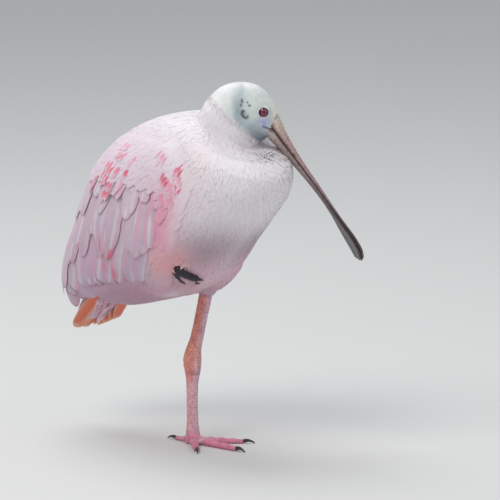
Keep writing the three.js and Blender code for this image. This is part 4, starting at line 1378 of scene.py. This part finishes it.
tail = {
    "root": (-98, 0, 176), "tip": (-157, 0, 105), "count": 12, "width": 20, "crown": 0.6,
    "fan": 13, "spread": 12, "step": 1.0, "droop": 4, "shortening": 0.1, "arch": 0.12, "variation": 1.6,
}


def tailBatch(draw):
    count = tail["count"]
    root, tip = np.array(tail["root"]) * mm, np.array(tail["tip"]) * mm
    length = np.linalg.norm(tip - root)
    spine = (tip - root) / length
    outward = np.array([spine[2], 0, -spine[0]])
    k = np.linspace(-1, 1, count)
    number = np.arange(count)
    rank = np.where(number <= count // 2, count // 2 - number, number - count // 2 + 1)
    fan = np.radians(tail["fan"] * k)[:, None]
    direction = unit(spine * np.cos(fan) + np.array([0, 1, 0]) * np.sin(fan))
    roots = root + np.array([0, 1, 0]) * (tail["spread"] * k * mm)[:, None]
    roots = roots - outward * (tail["step"] * rank * mm)[:, None]
    reach = length * (1 - tail["shortening"] * k * k) + tail["variation"] * mm * draw.uniform(-1, 1, count)
    t = np.linspace(0, 1, 20) ** 0.85
    centre = roots[:, None] + direction[:, None] * (reach[:, None] * t)[..., None]
    centre = centre - outward * (tail["droop"] * mm * t * t)[None, :, None]
    up = np.broadcast_to(outward + np.array([0, 1, 0]) * (-tail["arch"] * k)[:, None], (count, 3))
    up = np.broadcast_to(unit(up)[:, None], centre.shape)
    half = vaneOutline(count, t, tail["width"] * mm, draw)
    crown = half.mean(-1) / (tail["width"] * mm / 2) * tail["crown"] * mm
    aside, t = np.abs(vaneRing[:, 0])[None, None], t[None, :, None]
    redness = draw.uniform(0.25, 0.9, (count, 1, 1)) * mix(1, 0.5, t)
    colours = tinted(palette["orange"], "red", redness * (1 - 0.4 * aside))
    colours = tinted(colours, "buff", 0.75 * fade(0.72, 1, aside) * fade(0.3, 0.8, t))
    colours = tinted(colours, "buff", 0.85 * fade(0.955, 1, t))
    rootMap = chartPlace("mantle", np.full(count, 0.6), k * 1.2)
    return bladeArrays(centre, up, half, crown, vaneRing, colours, rootMap, softness=0.4)


# Soft feathers round the root of the tail: where they start along it, how wide and deep they stand round it
tailCover = {
    "count": 170, "from": (-4, 34), "wide": 21, "deep": (7, 12), "length": (44, 55), "width": 12,
    "fringe": 0.45, "turnShare": 0.618034,
}


def coverBatch(draw):
    sizes, count = tailCover, tailCover["count"]
    root, tip = np.array(tail["root"]) * mm, np.array(tail["tip"]) * mm
    spine = (tip - root) / np.linalg.norm(tip - root)
    outward = np.array([spine[2], 0, -spine[0]])
    turn = math.pi * 2 * (np.arange(count) * sizes["turnShare"] % 1)
    start = mix(*sizes["from"], draw.random(count)) * mm
    deep = np.where(np.sin(turn) > 0, *sizes["deep"])
    radial = np.array([0, 1, 0]) * (sizes["wide"] * np.cos(turn) * mm)[:, None]
    radial = radial + outward * (deep * np.sin(turn) * mm)[:, None]
    up = np.array([0, 1, 0]) * (deep * np.cos(turn))[:, None]
    up = unit(up + outward * (sizes["wide"] * np.sin(turn))[:, None])
    t = np.linspace(0, 1, 8)
    length = np.where(np.sin(turn) > 0, *sizes["length"])
    reach = start[:, None] + (length * mm)[:, None] * draw.uniform(0.75, 1.1, (count, 1)) * t
    widening = mix(0.55, 1, fade(0, 0.6, t)) * mix(1, 0.82, fade(0.6, 1, t))
    centre = root + spine * reach[..., None] + radial[:, None] * widening[None, :, None]
    half = vaneOutline(count, t, sizes["width"] * mm, draw)
    edge = np.maximum(np.abs(vaneRing[:, 0])[None, None], fade(0.8, 1, t)[None, :, None])
    colours = mix(palette["deepMauve"], palette["pink"], draw.random((count, 1, 1, 1)))
    colours = tinted(colours, "white", sizes["fringe"] * fade(0.6, 1, edge))
    rootMap = chartPlace("mantle", np.full(count, 0.3), turn)
    up = np.broadcast_to(up[:, None], centre.shape)
    return bladeArrays(centre, up, half, half.mean(-1) * 0.12, vaneRing, colours, rootMap, softness=0.3)


tailMaterial = plumageMaterial("tailPlumage", 300, 0.35, (60, 0.1))
bladePiece("tail", [tailBatch(np.random.default_rng(11))], tailMaterial, ["tail"])
bladePiece("tailCoverts", [coverBatch(np.random.default_rng(13))], softMaterial)
print("tail done")


# Bill: in its own frame, x along from the root, in millimetres.
# Sections: x, culmen, gape, lower edge, half width. Nostril: from, to, how far aside, depth

bill = {
    "sections": [
        (-10, 0, -15.5, -25, 11), (0, 0, -14.6, -23.5, 11.5), (12, -1.6, -13, -21.5, 11),
        (25, -2.5, -11.4, -18.8, 9.8), (50, -2.3, -7.9, -13.2, 7.6), (75, -0.4, -4.5, -8.4, 6.8),
        (98, 1.4, -1.6, -4.8, 7.6), (116, 2.4, -0.4, -3.2, 11.5), (132, 3.2, 0.4, -2.2, 19),
        (146, 4.2, 1.2, -1.6, 25), (160, 4.4, 1.2, -1.7, 23.5), (170, 3, -0.2, -2.6, 14),
    ],
    "rootHeight": 346, "rootReach": 46.8, "pitch": 60.8, "roll": -7.5, "length": 175, "gap": 0.15,
    "rim": 0.32, "rows": 220, "around": 44, "closing": (0.45, 0.75, 0.92),
    "ridgeStep": 3.6, "ridge": 0.42, "keel": 0.5, "groove": 0.5, "grooveAt": 0.5, "dish": 1.2,
    "lip": 0.5, "channel": 1.2, "nostril": (8, 19, 0.34, 1.3),
}
palette.update({
    "billUpper": rgb(206, 170, 164), "billLower": rgb(178, 158, 150), "baseUpper": rgb(226, 200, 184),
    "baseLower": rgb(222, 212, 204), "billRoot": rgb(214, 214, 206), "billMiddle": rgb(158, 130, 138),
    "spoon": rgb(62, 52, 60), "groove": rgb(70, 48, 54), "speckle": rgb(88, 66, 70),
    "ridgeTroughShade": rgb(120, 84, 88), "billPale": rgb(188, 160, 178), "nostril": rgb(34, 26, 30),
    "undersideShade": rgb(40, 34, 38), "gape": rgb(40, 32, 36), "billTip": rgb(148, 110, 100),
    "palate": rgb(108, 82, 80),
})


def billPlace(points):
    x, y, z = np.moveaxis(points, -1, 0)
    roll, pitch = math.radians(bill["roll"]), math.radians(bill["pitch"])
    y, z = y * math.cos(roll) - z * math.sin(roll), y * math.sin(roll) + z * math.cos(roll)
    x, z = x * math.cos(pitch) + z * math.sin(pitch), z * math.cos(pitch) - x * math.sin(pitch)
    return turnAboutNeck(np.stack([x + bill["rootReach"], y, z + bill["rootHeight"]], -1) * mm, headYaw)


def nostrilOf(x, aside):
    start, end, at, _ = bill["nostril"]
    return hump(aside, at, 0.07) * fade(start - 1, start + 1, x) * fade(end + 1, end - 1, x)


# Cross ridges near the root: their wave, and how strong they are
def crossRidges(x, aside):
    wave = np.sin(2 * math.pi * x / bill["ridgeStep"] + 3 * aside)
    return wave, fade(100, 30, x) * fade(0.62, 0.4, aside)


# Relief of a mandible's outer face, in millimetres
def billRelief(upper, x, across):
    aside = np.abs(across)
    spoon = fade(116, 142, x)
    groove = bill["groove"] * hump(aside, bill["grooveAt"] + 0.12 * spoon, 0.06)
    groove = groove * fade(2, 12, x) * fade(160, 145, x)
    dish = spoon * (bill["dish"] * hump(aside, 0, 0.5) - bill["lip"] * hump(aside, 0.9, 0.07))
    if not upper:
        channel = bill["channel"] * hump(aside, 0, 0.3) * fade(8, 25, x) * fade(118, 100, x)
        return -groove * 0.6 - dish * 0.7 - channel
    keel = bill["keel"] * hump(aside, 0, 0.16) * (1 - spoon)
    wave, ridged = crossRidges(x, aside)
    ridges = bill["ridge"] * wave * ridged * fade(-4, 6, x)
    return keel - groove - dish + ridges - bill["nostril"][3] * nostrilOf(x, aside)


def billTint(upper, x, across, draw):
    aside = np.abs(across)
    part = "Upper" if upper else "Lower"
    speckle = np.clip(draw.normal(0, 0.32, x.shape), 0, 1) * fade(130, 90, x)
    start = x + 3 * np.sin(9 * aside) + 6 * speckle
    # Painted shade along the groove that the relief cuts
    groove = hump(aside, bill["grooveAt"], 0.1) * fade(10, 40, x) * fade(140, 110, x)
    stains = [
        ("base" + part, fade(26, 8, start)),
        ("billRoot", 0.9 * fade(11, 0, start)),
        ("billMiddle", 0.8 * fade(20, 90, x)),
        ("spoon", 0.9 * fade(96, 128, x)),
        ("groove", 0.75 * groove),
        ("speckle", speckle),
    ]
    if upper:
        wave, ridged = crossRidges(x, aside)
        stains += [
            # Painted shade in the troughs between the cross ridges
            ("ridgeTroughShade", 0.7 * fade(0.1, -0.8, wave) * ridged),
            ("billPale", 0.7 * hump(aside, 0.74, 0.09) * fade(40, 80, x) * fade(168, 150, x)),
            ("nostril", 0.95 * nostrilOf(x, aside)),
        ]
    else:
        stains += [
            # Painted shade: the lower mandible darkens towards the spoon, as its underside lies in shade
            ("undersideShade", 0.6 * fade(60, 110, x)),
            ("gape", 0.7 * fade(0.99, 0.999, aside) * fade(16, 8, x)),
        ]
    stains.append(("billTip", 0.5 * fade(165, 172, x) * fade(0.6, 0.0, aside)))
    colours = np.broadcast_to(palette["bill" + part], x.shape + (3,))
    for colour, amount in stains:
        colours = tinted(colours, colour, amount)
    return colours


# A mandible's rings from root to tip in the bill's frame, and the colours of their outer part
def mandibleRings(upper, draw):
    rows, around = bill["rows"], bill["around"]
    sections = splineAt(np.array(bill["sections"], float), np.linspace(0, 1, rows))
    length, culmen, gape, edge, width = np.moveaxis(sections, -1, 0)
    theta = np.linspace(0, math.pi, around)
    across = signedPower(np.cos(theta), 0.7)
    height = bill["rim"] + (1 - bill["rim"]) * np.sin(theta) ** 0.8
    sign = 1 if upper else -1
    near = (gape + sign * bill["gap"])[:, None]
    far = (culmen if upper else edge)[:, None]
    far = mix(far, near, 0.14 * fade(7, -8, length)[:, None])
    half = (width * (1 if upper else 0.95) * mix(0.82, 1, fade(-8, 9, length)))[:, None]
    x = np.broadcast_to(length[:, None], (rows, around))
    crossing = np.broadcast_to(across, (rows, around))
    z = mix(near, far, height) + sign * billRelief(upper, x, crossing)
    outer = np.stack([x, half * crossing, z], -1)
    palate = np.linspace(-0.96, 0.96, 15)
    roof = near + sign * 0.6 * (1 - palate ** 2)
    inner = np.stack(np.broadcast_arrays(length[:, None], half * palate, roof), -1)
    rings = np.concatenate([outer, inner], 1)
    tip = bill["length"] - (0 if upper else 2)
    end = np.array([tip, 0, gape[-1] + (0.4 if upper else -1)])
    rings = np.concatenate([rings] + [mix(rings[-1:], end, share) for share in bill["closing"]])
    x = np.concatenate([x, np.full((len(rings) - rows, around), tip)])
    colours = billTint(upper, x, np.broadcast_to(across, x.shape), draw)
    hollow = np.broadcast_to(palette["palate"], (len(rings), len(palate), 3))
    return rings, np.concatenate([colours, hollow], 1)


def makeMandible(name, upper, node, draw):
    rings, colours = mandibleRings(upper, draw)
    index = np.arange(rings.shape[0] * rings.shape[1]).reshape(rings.shape[:2])
    following = np.roll(index, -1, axis=1)
    quads = np.stack([index[:-1], following[:-1], following[1:], index[1:]], -1).reshape(-1, 4)
    caps = [index[:1, ::-1], index[-1:]]
    if not upper:
        quads, caps = quads[:, ::-1], [cap[:, ::-1] for cap in caps]
    piece, _ = pieceFromArrays(name, billPlace(rings).reshape(-1, 3), [quads] + caps)
    setTint(piece, colours.reshape(-1, 3))
    piece.data.materials.append(hornMaterial)
    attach(piece, "root")
    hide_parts(node)


def makeHorn(name, roughness, scale):
    surface = {"Roughness": roughness, "Coat Weight": 0.15, "Coat Roughness": 0.3}
    material, tree, shader = newMaterial(name, surface)
    tree.links.new(mottled(tree, tintOf(tree), scale, 0.35), shader.inputs["Base Color"])
    addRelief(tree, shader, noiseValue(tree, objectPlace(tree), scale * 2, 6), 0.3, 0.5 * mm)
    return material


hornMaterial = makeHorn("billHorn", 0.5, 260)
makeMandible("billUpper", True, "bill_upper", np.random.default_rng(2))
makeMandible("billLower", False, "bill_lower", np.random.default_rng(4))
print("bill done")


# Eyes: a ball with its pole looking out of the lids

eye = {
    "radius": 6.6, "pupil": 1.3, "iris": 3.3, "ring": 4.3, "forward": 6, "bulge": (0.05, 0, 3.2),
}
palette.update({
    "iris": rgb(140, 40, 78), "irisEdge": rgb(104, 24, 54), "pupil": rgb(80, 20, 42),
    "ballEdge": rgb(70, 34, 36),
})


def eyeMaterial():
    material, tree, shader = newMaterial("eyeBall", {
        "Roughness": 0.12, "Coat Weight": 1.0, "Coat Roughness": 0.03, "IOR": 1.38,
    })
    tree.links.new(mottled(tree, tintOf(tree), 900, 0.3), shader.inputs["Base Color"])
    return material


def makeEye(name, side, node, material):
    deselectAll()
    bpy.ops.mesh.primitive_uv_sphere_add(segments=64, ring_count=64, radius=1)
    piece = bpy.context.object
    piece.name = name
    ball = coordinates(piece)
    off = np.where(ball[:, 2] < 0, np.inf, np.hypot(ball[:, 0], ball[:, 1]) * eye["radius"])
    forward = math.radians(eye["forward"])
    axis = np.array([math.sin(forward), side * math.cos(forward), 0])
    across = np.array([axis[1], -axis[0], 0]) * side
    ball = ball * (1 + rim(off, *eye["bulge"]))[:, None]
    points = ball @ np.stack([across, np.cross(axis, across), axis]) * eye["radius"]
    setCoordinates(piece, turnAboutNeck((points + np.array(face["eyePlace"]) * (1, side, 1)) * mm, headYaw))
    colours = tinted(palette["iris"], "irisEdge", 0.5 * hump(off, eye["pupil"] + 0.6, 0.7))
    colours = tinted(colours, "pupil", fade(eye["pupil"] + 0.5, eye["pupil"] - 0.3, off))
    colours = tinted(colours, "ballEdge", fade(eye["iris"] - 0.3, eye["ring"], off))
    setTint(piece, colours)
    bpy.ops.object.shade_smooth()
    piece.data.materials.append(material)
    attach(piece, "root")
    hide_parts(node)


ballMaterial = eyeMaterial()
makeEye("eyeLeft", 1, "eye_left", ballMaterial)
makeEye("eyeRight", -1, "eye_right", ballMaterial)
print("eyes done")


# Claws: the solids' own shape, rounded

def makeClaws():
    names = [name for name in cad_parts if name.startswith("claw_")]
    claws = joined(*[copyOfNode(name) for name in names])
    claws.name = "claws"
    selectFaces(claws, np.ones(len(claws.data.polygons), bool))
    bpy.ops.mesh.remove_doubles(threshold=0.02 * mm)
    bpy.ops.object.mode_set(mode="OBJECT")
    applied(claws, "SUBSURF", levels=2, render_levels=2)
    bpy.ops.object.shade_smooth()
    claws.data.materials.clear()
    setTint(claws, np.broadcast_to(palette["claw"], (len(claws.data.vertices), 3)))
    claws.data.materials.append(makeHorn("clawHorn", 0.38, 420))
    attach(claws, "root")
    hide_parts(*names)


makeClaws()
print("claws done")
